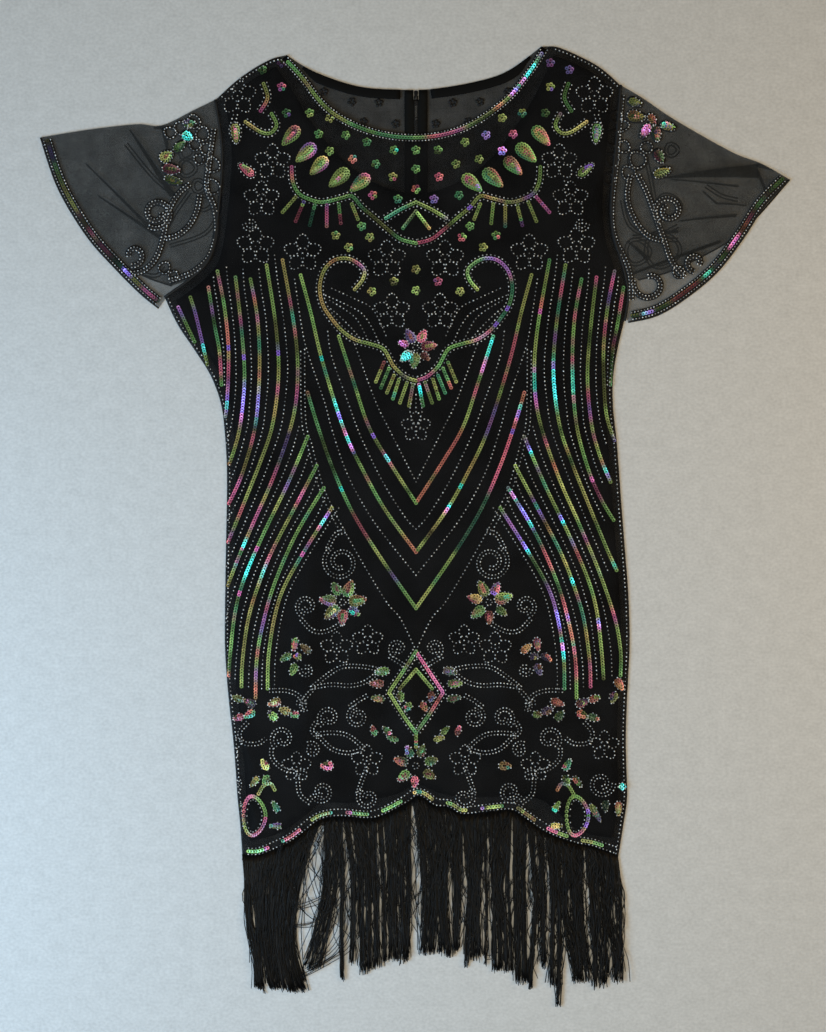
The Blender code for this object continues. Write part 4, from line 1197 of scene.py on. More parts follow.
def lay_sequins(name, work, level, ring, slot, pieces=1):
    """The collected sequins as pieces on the cloth."""
    rows = np.vstack(work.sequins)
    tints = np.array(work.tints)
    keep = kept_rows(rows, ring, SEQUIN_CLEAR)
    rows = rows[keep]
    tints = tints[keep]
    shape, quads = turned_ring()
    rng = np.random.default_rng(11)
    slopes = SEQUIN_SLOPE + rng.normal(0.0, 0.05, len(rows))
    tilts = np.zeros((len(rows), 2))
    lifts = np.zeros(len(rows))
    for across, down, reach, kind in PAINTED_FLASH_SPOTS:
        centre = chart(((across, down),))[0]
        away = np.linalg.norm(rows[:, :2] - centre, axis=1)
        share = ease(1.4 - away / reach) * rng.uniform(0.6, 1.0, len(rows))
        # Painted highlight: near each spot the tints are blended towards a flash colour, brightened by 1.3
        groups = len(rows) // 3 + 1
        kinds = np.where(rng.random(groups) < 0.6, kind, rng.integers(0, 3, groups))
        colours = linear(PAINTED_FLASH_COLOURS)[np.repeat(kinds, 3)[:len(rows)]] * 1.3
        tints += (colours - tints) * share[:, None]
        towards = Vector(COOL_LIGHT) - Vector((*(centre * MM), 0.0))
        facing = towards.normalized() + Vector((0.0, 0.0, 1.0))
        slant = np.array((-facing.x / facing.z, -facing.y / facing.z))
        tilts += (slant - tilts) * share[:, None]
        lifts = np.maximum(lifts, share * FLASH_LIFT)
    tints = np.clip(tints, 0.0, 1.0)
    heights = level(rows[:, :2]) + 0.1 + lifts
    made = []
    for label, part in portions(name, len(rows), pieces):
        points, groups = stamp(
            shape, [quads], rows[part], heights[part], slopes[part], 1.0, False, tilts[part])
        obj = add_piece(label, points, groups, sequin_material, slot, GARMENT, True)
        paint(obj, "tint", np.repeat(tints[part], len(shape), axis=0))
        made.append(obj)
    return made


def lay_beads(name, work, level, ring, slot, pieces=1):
    """The collected beads as pieces on the cloth."""
    rows = np.vstack(work.beads)
    rows = rows[kept_rows(rows, ring, BEAD_CLEAR)]
    shape, groups = bead_shape()
    rng = np.random.default_rng(12)
    sizes = rng.uniform(0.88, 1.1, len(rows))
    heights = level(rows[:, :2]) + BEAD_RADIUS * 0.75
    shades = np.clip(rng.lognormal(-0.35, 0.55, len(rows)), 0.1, 1.35)
    made = []
    for label, part in portions(name, len(rows), pieces):
        points, faces = stamp(shape, groups, rows[part], heights[part], 0.0, sizes[part])
        obj = add_piece(label, points, faces, bead_material, slot)
        paint(obj, "tint", np.repeat(np.repeat(shades[part], len(shape))[:, None], 3, axis=1))
        made.append(obj)
    return made


def new_material(name):
    """An empty Principled material with its node tree and shader."""
    material = bpy.data.materials.new(name)
    material.use_nodes = True
    return material, material.node_tree, material.node_tree.nodes["Principled BSDF"]


def set_sockets(node, values):
    """Sets a node's sockets by name."""
    for name, value in values.items():
        node.inputs[name].default_value = value


def object_space(tree, scale):
    """Object coordinates in steps of the given sizes."""
    where = tree.nodes.new("ShaderNodeTexCoord")
    mapping = tree.nodes.new("ShaderNodeMapping")
    mapping.inputs["Scale"].default_value = scale
    tree.links.new(where.outputs["Object"], mapping.inputs["Vector"])
    return mapping.outputs["Vector"]


def noise(tree, vector, scale, detail=3.0):
    """A noise texture's value."""
    node = tree.nodes.new("ShaderNodeTexNoise")
    set_sockets(node, {"Scale": scale, "Detail": detail})
    tree.links.new(vector, node.inputs["Vector"])
    return node.outputs["Fac"]


def cells(tree, vector, scale, randomness):
    """Distance to the nearest edge of a net of cells."""
    node = tree.nodes.new("ShaderNodeTexVoronoi")
    node.feature = "DISTANCE_TO_EDGE"
    set_sockets(node, {"Scale": scale, "Randomness": randomness})
    tree.links.new(vector, node.inputs["Vector"])
    return node.outputs["Distance"]


def remap(tree, value, low, high, to_low, to_high):
    """A value moved from one range to another."""
    node = tree.nodes.new("ShaderNodeMapRange")
    set_sockets(node, {"From Min": low, "From Max": high, "To Min": to_low, "To Max": to_high})
    tree.links.new(value, node.inputs["Value"])
    return node.outputs["Result"]


def blend_colours(tree, share, first, second):
    """A colour between two others."""
    node = tree.nodes.new("ShaderNodeMix")
    node.data_type = "RGBA"
    node.inputs["A"].default_value = (*first, 1.0)
    node.inputs["B"].default_value = (*second, 1.0)
    tree.links.new(share, node.inputs["Factor"])
    return node.outputs["Result"]


def calculate(tree, operation, first, second):
    """A math node on a socket and a socket or number."""
    node = tree.nodes.new("ShaderNodeMath")
    node.operation = operation
    node.use_clamp = operation == "ADD"
    tree.links.new(first, node.inputs[0])
    if isinstance(second, float):
        node.inputs[1].default_value = second
    else:
        tree.links.new(second, node.inputs[1])
    return node.outputs["Value"]


def bump(tree, shader, value, strength, distance):
    """Relief on a shader from a value."""
    node = tree.nodes.new("ShaderNodeBump")
    set_sockets(node, {"Strength": strength, "Distance": distance})
    tree.links.new(value, node.inputs["Height"])
    tree.links.new(node.outputs["Normal"], shader.inputs["Normal"])


def read_attribute(tree, name, output):
    """A painted value or colour."""
    node = tree.nodes.new("ShaderNodeAttribute")
    node.attribute_name = name
    return node.outputs[output]


def net_material(name, dark, light, cover):
    """Sheer net: threads round small cells, denser where it is doubled."""
    material, tree, shader = new_material(name)
    vector = object_space(tree, (1.0, 1.0, 0.0))
    patches = remap(tree, noise(tree, vector, 17.0, 5.0), 0.35, 0.65, 0.0, 1.0)
    tree.links.new(blend_colours(tree, patches, dark, light), shader.inputs["Base Color"])
    threads = remap(tree, cells(tree, vector, NET_CELLS, 0.45), 0.0, 0.16, cover + 0.05, cover - 0.04)
    uneven = remap(tree, noise(tree, vector, 60.0), 0.3, 0.7, 0.0, 0.07)
    density = read_attribute(tree, "density", "Fac")
    doubled = calculate(tree, "MULTIPLY", density, 0.5)
    alpha = calculate(tree, "ADD", calculate(tree, "ADD", threads, uneven), doubled)
    tree.links.new(alpha, shader.inputs["Alpha"])
    set_sockets(shader, {"Roughness": 0.8, "Specular IOR Level": 0.12})
    bump(tree, shader, cells(tree, vector, NET_CELLS, 0.45), 0.1, 0.0002)
    return material


def knit_material(name, dark, light, roughness, scale, strength):
    """Close smooth cloth with a fine rib."""
    material, tree, shader = new_material(name)
    vector = object_space(tree, (1.0, 1.0, 1.0))
    patches = noise(tree, vector, 30.0, 5.0)
    tree.links.new(blend_colours(tree, patches, dark, light), shader.inputs["Base Color"])
    tree.links.new(remap(tree, patches, 0.3, 0.7, roughness - 0.06, roughness + 0.06),
                   shader.inputs["Roughness"])
    set_sockets(shader, {"Specular IOR Level": 0.1})
    ribs = cells(tree, object_space(tree, (scale, 0.6 * scale, scale)), 1.0, 0.25)
    bump(tree, shader, ribs, strength, 0.0002)
    return material


def sequin_finish():
    """Metallic sequins that take their colour from a painted tint, which also carries the painted glints,
    painted highlights and painted reflection brightness.
    """
    material, tree, shader = new_material("sequins")
    tint = read_attribute(tree, "tint", "Color")
    tree.links.new(tint, shader.inputs["Base Color"])
    vector = object_space(tree, (1.0, 1.0, 1.0))
    worn = noise(tree, vector, 900.0, 2.0)
    tree.links.new(remap(tree, worn, 0.3, 0.7, 0.2, 0.36), shader.inputs["Roughness"])
    set_sockets(shader, {"Metallic": 0.3, "Coat Weight": 0.3, "Coat Roughness": 0.15})
    return material


def bead_finish():
    """Small glass beads."""
    material, tree, shader = new_material("beads")
    mix = tree.nodes.new("ShaderNodeMix")
    mix.data_type = "RGBA"
    mix.blend_type = "MULTIPLY"
    mix.inputs["Factor"].default_value = 1.0
    mix.inputs["A"].default_value = (0.72, 0.73, 0.72, 1.0)
    tree.links.new(read_attribute(tree, "tint", "Color"), mix.inputs["B"])
    tree.links.new(mix.outputs["Result"], shader.inputs["Base Color"])
    vector = object_space(tree, (1.0, 1.0, 1.0))
    tree.links.new(remap(tree, noise(tree, vector, 700.0), 0.3, 0.7, 0.12, 0.28),
                   shader.inputs["Roughness"])
    set_sockets(shader, {"Coat Weight": 0.6, "Coat Roughness": 0.08, "IOR": 1.5})
    return material


def plain_finish(name, dark, light, roughness, metallic, scale):
    """A finish with slight variation of colour and roughness."""
    material, tree, shader = new_material(name)
    vector = object_space(tree, (1.0, 1.0, 1.0))
    value = noise(tree, vector, scale, 4.0)
    tree.links.new(blend_colours(tree, value, dark, light), shader.inputs["Base Color"])
    tree.links.new(remap(tree, value, 0.3, 0.7, roughness - 0.08, roughness + 0.08),
                   shader.inputs["Roughness"])
    shader.inputs["Metallic"].default_value = metallic
    return material


def fringe_finish():
    """Rayon strands with a soft sheen, each of its own shade."""
    material, tree, shader = new_material("fringe_rayon")
    tree.links.new(read_attribute(tree, "tint", "Color"), shader.inputs["Base Color"])
    vector = object_space(tree, (1.0, 0.15, 1.0))
    tree.links.new(remap(tree, noise(tree, vector, 500.0), 0.3, 0.7, 0.32, 0.5),
                   shader.inputs["Roughness"])
    set_sockets(shader, {"Specular IOR Level": 0.22})
    return material


front_net = net_material("front_net", (0.004, 0.004, 0.0045), (0.013, 0.013, 0.014), 0.33)
back_net = net_material("back_net", (0.006, 0.006, 0.006), (0.014, 0.014, 0.014), 0.48)
# The sleeve net is painted several times lighter than the same black net on the body: painted light for the
# light on and through the sheer sleeves
sleeve_net_painted_light = net_material("sleeve_net_painted_light", (0.038, 0.041, 0.041), (0.054, 0.057, 0.057), 0.285)
pleat_net = net_material("pleat_net", (0.010, 0.010, 0.010), (0.018, 0.018, 0.018), 0.0)
lining_knit = knit_material(
    "lining_knit", (0.0045, 0.005, 0.005), (0.008, 0.008, 0.008), 0.55, 900.0, 0.2)
binding_cloth = knit_material(
    "binding_cloth", (0.002, 0.002, 0.002), (0.005, 0.005, 0.005), 0.7, 1100.0, 0.3)
tape_weave = knit_material("tape_weave", (0.004, 0.004, 0.004), (0.007, 0.007, 0.006), 0.75, 1500.0, 0.4)
thread_black = plain_finish(
    "thread_black", (0.003, 0.003, 0.003), (0.009, 0.009, 0.009), 0.75, 0.0, 900.0)
zip_enamel = plain_finish("zip_enamel", (0.012, 0.012, 0.012), (0.03, 0.03, 0.03), 0.34, 0.7, 400.0)
zip_coil = plain_finish("zip_coil", (0.010, 0.010, 0.010), (0.02, 0.02, 0.02), 0.35, 0.0, 500.0)
sequin_material = sequin_finish()
bead_material = bead_finish()
fringe_rayon = fringe_finish()


def add_cloth(name, ring, level, step, material, slot, thickness, density=None):
    """A laid panel of cloth, filled from its outline."""
    points, triangles = fill_outline(ring, step)
    obj = add_piece(name, np.column_stack((points, level(points))), [triangles], material, slot)
    if density is not None:
        paint(obj, "density", density(points))
    return thicken(obj, thickness)


def declare(obj, rings):
    """Works out the area within the outlines that a panel was cut to; the area is not passed on."""
    area = sum(shoelace(ring) for ring in rings) * MM * MM


def edge_density(ring, width):
    """Net is doubled along its hemmed edges."""
    border = closed(ring)
    return lambda points: 1.0 - ease(line_distance(points, border) / width)


def hem_density(ring, width, lining, amount):
    """Edge density, less where the net hangs free below the lining's hem."""
    doubled = edge_density(ring, width)

    def density(points):
        free = ~inside(points, lining) & (points[:, 1] < HALF_LENGTH - HEM_NET_FROM)
        return np.where(free, -amount, doubled(points))

    return density


def half_ring(ring, side, clear, notch_half, notch_bottom):
    """One half of an outline, cut beside the centre line, with a notch down from the neck."""
    centre = ACROSS_SHIFT
    near = centre + side * clear
    notch = centre + side * notch_half
    notch_y = HALF_LENGTH - notch_bottom
    keep = side * (ring[:, 0] - centre) > notch_half + 2.0
    first = next(i for i in range(len(ring)) if keep[i] and not keep[i - 1])
    count = int(keep.sum())
    chain = ring[[(first + offset) % len(ring) for offset in range(count)]]
    beyond = ring[(first + count) % len(ring)]
    before = ring[first - 1]

    def crossing(start, end, x):
        part = (x - start[0]) / (end[0] - start[0])
        return np.array((x, start[1] + (end[1] - start[1]) * part))

    if chain[0][1] < chain[-1][1]:
        top = crossing(chain[-1], beyond, notch)
        bottom = crossing(chain[0], before, near)
        closing = (top, (notch, notch_y), (near, notch_y), bottom)
    else:
        top = crossing(chain[0], before, notch)
        bottom = crossing(chain[-1], beyond, near)
        closing = (bottom, (near, notch_y), (notch, notch_y), top)
    full = np.vstack((chain, closing))
    parts = [even(np.vstack(pair), OUTLINE_STEP)[:-1] for pair in zip(full, np.roll(full, -1, axis=0))]
    return np.vstack(parts)


def build_front():
    """Front net and lining with their binding."""
    insets = {"neck": 0.0, "hem": 0.0, "shoulder": LINING_INSET, "armhole": LINING_INSET, "side": LINING_INSET}
    outline, names = body_ring(NECK_LINING, HEM_LINING)
    ring = fine_ring(inset_ring(outline, names, insets), names)
    net = add_cloth("net_front", front_ring, front_level, NET_STEP, front_net, "net_front", NET_THICK,
                    hem_density(front_ring, 2.5, ring, 0.28))
    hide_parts("front_panel")

    def level(points):
        rise = fold_rise(LINING_CREASES, points) + 0.15 * ripple(points, 45.0, 8)
        return FRONT_LINING_LEVEL + rise + 0.45 * np.minimum(1.6, fold_rise(FRONT_FOLDS, points))

    lining = add_cloth("slip_front", ring, level, 8.0, lining_knit, "lining", LINING_THICK)
    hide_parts("lining_front")
    middle = shifted(neck_line, -0.5 * BINDING_FRONT)
    path = np.column_stack((middle, BINDING_LEVEL + neck_lift(middle)))
    points, faces = sweep(path[None], ring_profile(0.5 * BINDING_FRONT, BINDING_HALF_HEIGHT, 10))
    binding = add_piece("binding_front", points, faces, binding_cloth, "binding")
    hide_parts("neck_binding_front")
    return net, lining, binding, ring


def build_back(lining_ring):
    """Back halves of net, lining and binding."""
    outline, names = body_ring(NECK_BACK, HEM)
    ring = fine_ring(outline, names)
    made = []
    for side, label in ((-1, "left"), (1, "right")):
        half = half_ring(ring, side, TAPE_CENTRE, 3.2, 74.0)
        net = add_cloth("net_back_" + label, half, back_level, 8.0, back_net, "net_back", NET_THICK,
                        hem_density(half, 2.0, lining_ring, 0.44))
        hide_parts("back_" + label)
        lining_half = half_ring(lining_ring, side, TAPE_CENTRE, LINING_FROM_ZIP, ZIP_BOTTOM + GAP)
        lining = add_cloth("slip_back_" + label, lining_half,
                           lambda points: BACK_LINING_LEVEL + 0.15 * ripple(points, 50.0, 9),
                           10.0, lining_knit, "lining", LINING_THICK)
        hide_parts("lining_back_" + label)
        top = edge(NECK_BACK, 5.0)
        away = side * (top[:, 0] - ACROSS_SHIFT)
        kept = (away > LINING_FROM_ZIP) & (away < BINDING_BACK_REACH + 9.0)
        narrow = 1.0 - 0.72 * ease((away[kept] - 94.0) / 21.0)
        inner = shifted(top, -0.5 * BINDING_BACK)[kept]
        middle = top[kept] + (inner - top[kept]) * narrow[:, None]
        path = np.column_stack((middle, np.full(len(middle), 1.75) - 0.35 * (1.0 - narrow)))
        points, faces = sweep(path[None], ring_profile(0.5 * BINDING_BACK, 0.42, 10), narrow)
        binding = add_piece("binding_back_" + label, points, faces, binding_cloth, "binding")
        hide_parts("neck_binding_back_" + label)
        made.append((net, lining, binding, half, lining_half))
    return made, ring


def build_zip():
    """Tapes and coil teeth of the concealed zip."""
    tapes = []
    for side, label in ((-1, "left"), (1, "right")):
        corners = (
            (2.6, ZIP_TOP), (TAPE_HALF, ZIP_TOP), (TAPE_HALF, ZIP_BOTTOM),
            (0.9, ZIP_BOTTOM), (0.9, 54.3), (2.6, 54.3),
        )
        ring = place([(side * across, down) for across, down in corners])
        if side > 0:
            ring = ring[::-1]
        fine = np.vstack([
            even(np.vstack(pair), 4.0)[:-1] for pair in zip(ring, np.roll(ring, -1, axis=0))])
        tape = add_cloth("tape_" + label, fine, lambda points: np.full(len(points), TAPE_LEVEL),
                         4.0, tape_weave, "zip_tape", 0.4)
        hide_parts("zip_tape_" + label)
        tapes.append((tape, fine))
    downs = np.arange(56.0, ZIP_BOTTOM - 2.0, TOOTH_PITCH)
    paths = []
    for side in (-1, 1):
        for number, down in enumerate(downs + (0.4 if side > 0 else -0.4)):
            inner = place(((side * 0.05 - side * 0.45, down), (side * 1.0, down + 0.1), (side * 2.0, down)))
            paths.append(np.column_stack((inner, (1.85, 2.15, 1.8))))
    points, faces = sweep(np.array(paths), ring_profile(0.36, 0.36, 5))
    teeth = add_piece("zip_coil", points, faces, zip_coil, "zip_tape")
    return tapes, teeth


def rounded_plate(outline, under, over, inset):
    """A plate with softened edges from its closed outline."""
    count = len(outline)
    centre = outline.mean(axis=0)
    away = outline - centre
    inner = centre + away * (1.0 - inset / np.maximum(np.linalg.norm(away, axis=1), 1e-6))[:, None]
    lift = inset * 0.6
    rows = (
        np.column_stack((inner, np.full(count, under))),
        np.column_stack((outline, np.full(count, under + lift))),
        np.column_stack((outline, np.full(count, over - lift))),
        np.column_stack((inner, np.full(count, over))),
    )
    here = np.arange(count)
    after = (here + 1) % count
    quads = [
        np.column_stack((row * count + here, row * count + after,
                         (row + 1) * count + after, (row + 1) * count + here))
        for row in range(3)
    ]
    return np.vstack(rows), [np.vstack(quads), here[None, ::-1], 3 * count + here[None]]


def build_slider():
    """The slider's body with its waist and lugs, and the pull tab that hangs from it."""
    rows = (
        (0.0, 45.0), (1.4, 45.1), (2.1, 46.4), (1.9, 48.5),
        (1.55, 50.5), (1.7, 53.0), (1.2, 54.0), (0.0, 54.0),
    )
    right = place(rows)
    left = place([(-across, down) for across, down in rows[1:-1]])[::-1]
    outline = even(np.vstack((right, left, right[:1])), 0.7)[:-1][::-1]
    parts = [rounded_plate(outline, 1.3, 2.9, 0.4)]
    for side in (-1, 1):
        lug = place([(side * 1.85 + dx, 51.5 + dy) for dx, dy in
                     ((-0.3, -1.5), (-0.3, 1.5), (0.3, 1.5), (0.3, -1.5))])
        lug = even(closed(lug), 0.5)[:-1]
        parts.append(rounded_plate(lug, 0.25, 1.5, 0.15))
    pin = np.column_stack((place(((-1.7, 51.5), (0.0, 51.5), (1.7, 51.5))), np.full(3, 0.5)))
    parts.append(sweep(pin[None], ring_profile(0.22, 0.22, 8)))
    points, faces = join_tubes(parts)
    slider = add_piece("slider_body", points, faces, zip_enamel, "zip_metal")
    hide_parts("zip_slider")
    tab_rows = ((1.25, 51.1), (1.25, 54.0), (1.7, 57.0), (2.3, 62.0), (2.4, 66.0), (2.0, 69.5), (1.0, 71.2))
    right = smooth(place(tab_rows), 0.9)
    left = smooth(place([(-half, down) for half, down in reversed(tab_rows)]), 0.9)
    outer = np.vstack((right, left))[::-1]
    path = np.vstack((outer, outer[:1]))
    middle = closed(shifted(path, -0.55)[:-1])
    loop = np.column_stack((middle, np.full(len(middle), 0.5)))
    frame_points, frame_faces = sweep(loop[None], ring_profile(0.55, 0.4, 8))
    blade = even(closed(place(((-0.9, 52.2), (0.9, 52.2), (1.5, 60.0), (-1.5, 60.0)))), 0.8)[:-1]
    blade_points, blade_faces = rounded_plate(blade, 0.3, 0.7, 0.2)
    points, faces = join_tubes([(frame_points, frame_faces), (blade_points, blade_faces)])
    pull = add_piece("pull_tab", points, faces, zip_enamel, "zip_metal", PULL)
    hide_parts("zip_pull")


def build_sleeve(label, top_table, armhole_table, upper_table, lower_table):
    """A sleeve of net folded along its top edge, with its embroidery."""
    outward = -1 if label == "left" else 1
    armhole = shifted(edge(armhole_table, OUTLINE_STEP), outward * 0.6)
    top = edge(top_table, OUTLINE_STEP)
    top[0] = top[0] + 0.1 * (top[1] - top[0])
    upper = edge(upper_table, OUTLINE_STEP)
    lower = edge(lower_table, OUTLINE_STEP)
    upper_seam = armhole[1:-1][::-1]
    lower_seam = armhole[1:][armhole[1:, 1] > lower[-1, 1] + 4.0][::-1]
    upper_ring = np.vstack((top, upper[1:], upper_seam))
    lower_ring = np.vstack((top, lower[1:], lower_seam))
    upper_points, upper_faces = fill_outline(upper_ring, NET_STEP)
    lower_points, lower_faces = fill_outline(lower_ring, NET_STEP)
    upper_z = sleeve_level(upper_points, top, armhole)
    lower_z = SLEEVE_LOWER + 0.15 * ripple(lower_points, 40.0, 10)
    count = len(upper_points)
    here = np.arange(len(top) - 1)
    fold = np.column_stack((here, here + 1, count + here + 1, count + here))
    fold = fold if outward < 0 else fold[:, ::-1]
    points = np.vstack((np.column_stack((upper_points, upper_z)), np.column_stack((lower_points, lower_z))))
    faces = [np.vstack((upper_faces, lower_faces[:, ::-1] + count)), fold]
    net = add_piece("net_sleeve_" + label, points, faces, sleeve_net_painted_light, "net_sleeve")
    border = np.concatenate((
        line_distance(upper_points, upper), line_distance(lower_points, lower)))
    density = 0.8 * (1.0 - ease(border / 2.5))
    for across, down, reach, amount in SLEEVE_THIN[label]:
        away = np.linalg.norm(points[:, :2] - place(((across, down),)), axis=1)
        density -= amount * ease(1.5 - away / reach)
    paint(net, "density", density)
    thicken(net, NET_THICK)
    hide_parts("sleeve_" + label)

    work = Embroidery(21 if label == "left" else 22)
    sleeve_embroidery(work, label, upper)

    def level(at):
        return sleeve_level(at, top, armhole)

    sequins = lay_sequins("sequins_sleeve_" + label, work, level, upper_ring, "net_sleeve")
    beads = lay_beads("beads_sleeve_" + label, work, level, upper_ring, "net_sleeve")
    tubes = []
    for line, half_width in work.threads:
        path = np.column_stack((line, level(line) + 0.05))
        tubes.append(sweep(path[None], ring_profile(half_width, 0.2, 4)))
    for line in (upper, lower):
        height = level(line) if line is upper else np.full(len(line), SLEEVE_LOWER)
        tubes.append(sweep(np.column_stack((line, height - 0.1))[None], ring_profile(0.8, 0.45, 6)))
    under = [smooth(chart(table), MOTIF_PITCH) for table in SLEEVE_UNDER_LINES[label]]
    for across, down, radius in SLEEVE_UNDER_RINGS[label]:
        under.append(closed(oval(chart(((across, down),))[0], 2.0 * radius, 2.0 * radius, 0.0, MOTIF_PITCH)))
    for line in under:
        for distance in (-1.6, 1.6):
            moved = shifted(line, distance)
            height = np.full(len(moved), SLEEVE_LOWER - 0.5)
            tubes.append(sweep(np.column_stack((moved, height))[None], ring_profile(0.8, 0.22, 4)))
    seam = np.column_stack((armhole, np.full(len(armhole), SLEEVE_UPPER + 0.2)))
    tubes.append(sweep(seam[None], ring_profile(1.2, 0.6, 6)))
    points, faces = join_tubes(tubes)
    threads = add_piece("threads_sleeve_" + label, points, faces, thread_black, "net_sleeve")
    strips = []
    amounts = []
    for across_from, down_from, across_to, down_to, width_from, width_to, amount in SLEEVE_PLEATS[label]:
        line = even(place(((across_from, down_from), (across_to, down_to))), 4.0)
        share = np.linspace(0.0, 1.0, len(line))
        line[:, 1] += 0.02 * (width_to + 20.0) * np.sin(math.pi * share)
        path = np.column_stack((line, level(line) + 0.25))
        widths = width_from + (width_to - width_from) * share
        strips.append(sweep(path[None], ((1.0, 0.0), (0.0, -0.02), (-1.0, 0.0), (0.0, 0.02)), widths))
        amounts.append(np.full(len(strips[-1][0]), amount))
    points, faces = join_tubes(strips)
    pleats = add_piece("pleats_sleeve_" + label, points, faces, pleat_net, "net_sleeve")
    paint(pleats, "density", np.concatenate(amounts))
    declare(net, (upper_ring, lower_ring))


def fringe_locks():
    """The clumps of fringe parted into narrower locks, each drawn in towards its own middle."""
    rng = np.random.default_rng(77)
    locks = []
    for row in FRINGE_CLUMPS:
        count = max(1, round((row[1] - row[0]) / rng.uniform(*LOCK_WIDTHS)))
        for number in range(count):
            start = number / count
            end = (number + 1) / count
            lock = [row[0] + (row[1] - row[0]) * start, row[0] + (row[1] - row[0]) * end]
            for low, high in (row[2:4], row[4:6]):
                middle = low + (high - low) * 0.5 * (start + end)
                half = 0.5 * (high - low) / count * (1.0 - row[7] * rng.uniform(0.2, 0.7))
                lock += [middle - half, middle + half]
            locks.append(lock + [
                row[6] + rng.normal(0.0, 2.5), rng.gamma(2.0, 0.7),
                rng.uniform(0.5, 1.6), rng.uniform(0.0, 6.3),
            ])
    return np.array(locks)


def strand_paths(count, seed, level, spread, shorter):
    """Paths of the fringe strands, from the hem down to their tips."""
    rng = np.random.default_rng(seed)
    locks = fringe_locks()
    roots = np.linspace(HEM[0][0] + 0.5, HEM[-1][0] - 0.5, count) + rng.normal(0.0, 0.2, count)
    rows = locks[np.clip(np.searchsorted(locks[:, 1], roots), 0, len(locks) - 1)]
    part = (roots - rows[:, 0]) / (rows[:, 1] - rows[:, 0])
    middle_part = np.clip(part + rng.normal(0.0, 0.16, count), -0.15, 1.15)
    tip_part = np.clip(part + rng.normal(0.0, 0.2, count), -0.2, 1.2)
    middle = rows[:, 2] + (rows[:, 3] - rows[:, 2]) * middle_part
    tip = rows[:, 4] + (rows[:, 5] - rows[:, 4]) * tip_part
    tip_down = rows[:, 6] - shorter + rng.normal(0.0, 1.8, count) - 12.0 * rng.random(count) ** 4
    long_ones = (roots > LONG_LOCK[0]) & (roots < LONG_LOCK[1])
    tip_down[long_ones] = LONG_LOCK_DOWN - shorter - 4.0 * rng.random(int(long_ones.sum()))
    root_down = HALF_LENGTH - np.interp(roots + ACROSS_SHIFT, hem_line[:, 0], hem_line[:, 1]) - 2.0
    share = np.linspace(0.0, 1.0, STRAND_POINTS)[None, :]
    turn = ((FRINGE_MID_DOWN - root_down) / (tip_down - root_down))[:, None]
    root = roots[:, None]
    across = (
        root * (share - turn) * (share - 1.0) / turn
        + middle[:, None] * share * (share - 1.0) / (turn * (turn - 1.0))
        + tip[:, None] * share * (share - turn) / (1.0 - turn)
    )
    size = rng.gamma(2.0, 0.48, count)
    strays = rng.random(count) < 0.1
    size[strays] += rng.uniform(2.0, 7.0, int(strays.sum()))
    waves = rng.uniform(0.8, 3.4, count)
    waves[strays] = rng.uniform(0.5, 1.2, int(strays.sum()))
    phase = rng.uniform(0.0, 6.3, count)
    growth = ease(share * 2.0)
    across = across + growth * size[:, None] * np.sin(WAVE_TURN * waves[:, None] * share + phase[:, None])
    across = across + growth * rows[:, 7:8] * np.sin(WAVE_TURN * rows[:, 8:9] * share + rows[:, 9:10])
    fine = rng.uniform(0.1, 0.5, count)[:, None]
    across = across + growth * fine * np.sin(WAVE_TURN * 4.3 * share + 2.1 * phase[:, None])
    down = root_down[:, None] + (tip_down - root_down)[:, None] * share
    base = rng.uniform(0.0, spread, count)[:, None]
    height = level + base * growth + 0.35 * growth * np.sin(5.0 * share + phase[:, None])
    flat = place(np.column_stack((across.ravel(), down.ravel()))).reshape(count, STRAND_POINTS, 2)
    return np.dstack((flat, np.maximum(height, STRAND_RADIUS + 0.05)))


def stray_paths(level, rng):
    """Paths of strands that wander over their neighbours, many of them only near the hem."""
    count = STRAY_STRANDS
    roots = rng.uniform(-150.0, 196.0, count)
    root_down = HALF_LENGTH - np.interp(roots + ACROSS_SHIFT, hem_line[:, 0], hem_line[:, 1])
    near_hem = rng.random(count) < 0.6
    reach = np.where(near_hem, rng.uniform(28.0, 70.0, count), rng.uniform(80.0, 142.0, count))
    drift = rng.normal(0.0, 0.22, count) * reach
    share = np.linspace(0.0, 1.0, STRAND_POINTS)[None, :]
    swing = rng.uniform(0.03, 0.13, count) * reach
    waves = rng.uniform(0.5, 1.3, count)[:, None]
    phase = rng.uniform(0.0, 6.3, count)[:, None]
    wander = swing[:, None] * (np.sin(WAVE_TURN * waves * share + phase) - np.sin(phase))
    across = np.clip(roots[:, None] + drift[:, None] * share + wander, -166.0, 208.0)
    down = root_down[:, None] + reach[:, None] * share
    height = level + 0.5 * np.sin(math.pi * share) - 0.3 + 0.0 * across
    flat = place(np.column_stack((across.ravel(), down.ravel()))).reshape(count, STRAND_POINTS, 2)
    return np.dstack((flat, height))


def loop_paths(level, rng):
    """Paths of the loose strands that loop across the gaps of the fringe."""
    found = []
    for table, copies in FRINGE_LOOPS:
        for number in range(copies):
            knots = chart(table) + rng.normal(0.0, 1.1, (len(table), 2)) + (1.6 * number, -1.9 * number)
            line = smooth(knots, 1.0)
            share = np.linspace(0.0, len(line) - 1.0, STRAND_POINTS)
            flat = [np.interp(share, np.arange(len(line)), line[:, axis]) for axis in (0, 1)]
            height = level + 0.6 * np.sin(np.linspace(0.0, math.pi, STRAND_POINTS)) - 0.4
            found.append(np.column_stack((*flat, height)))
    return np.array(found)


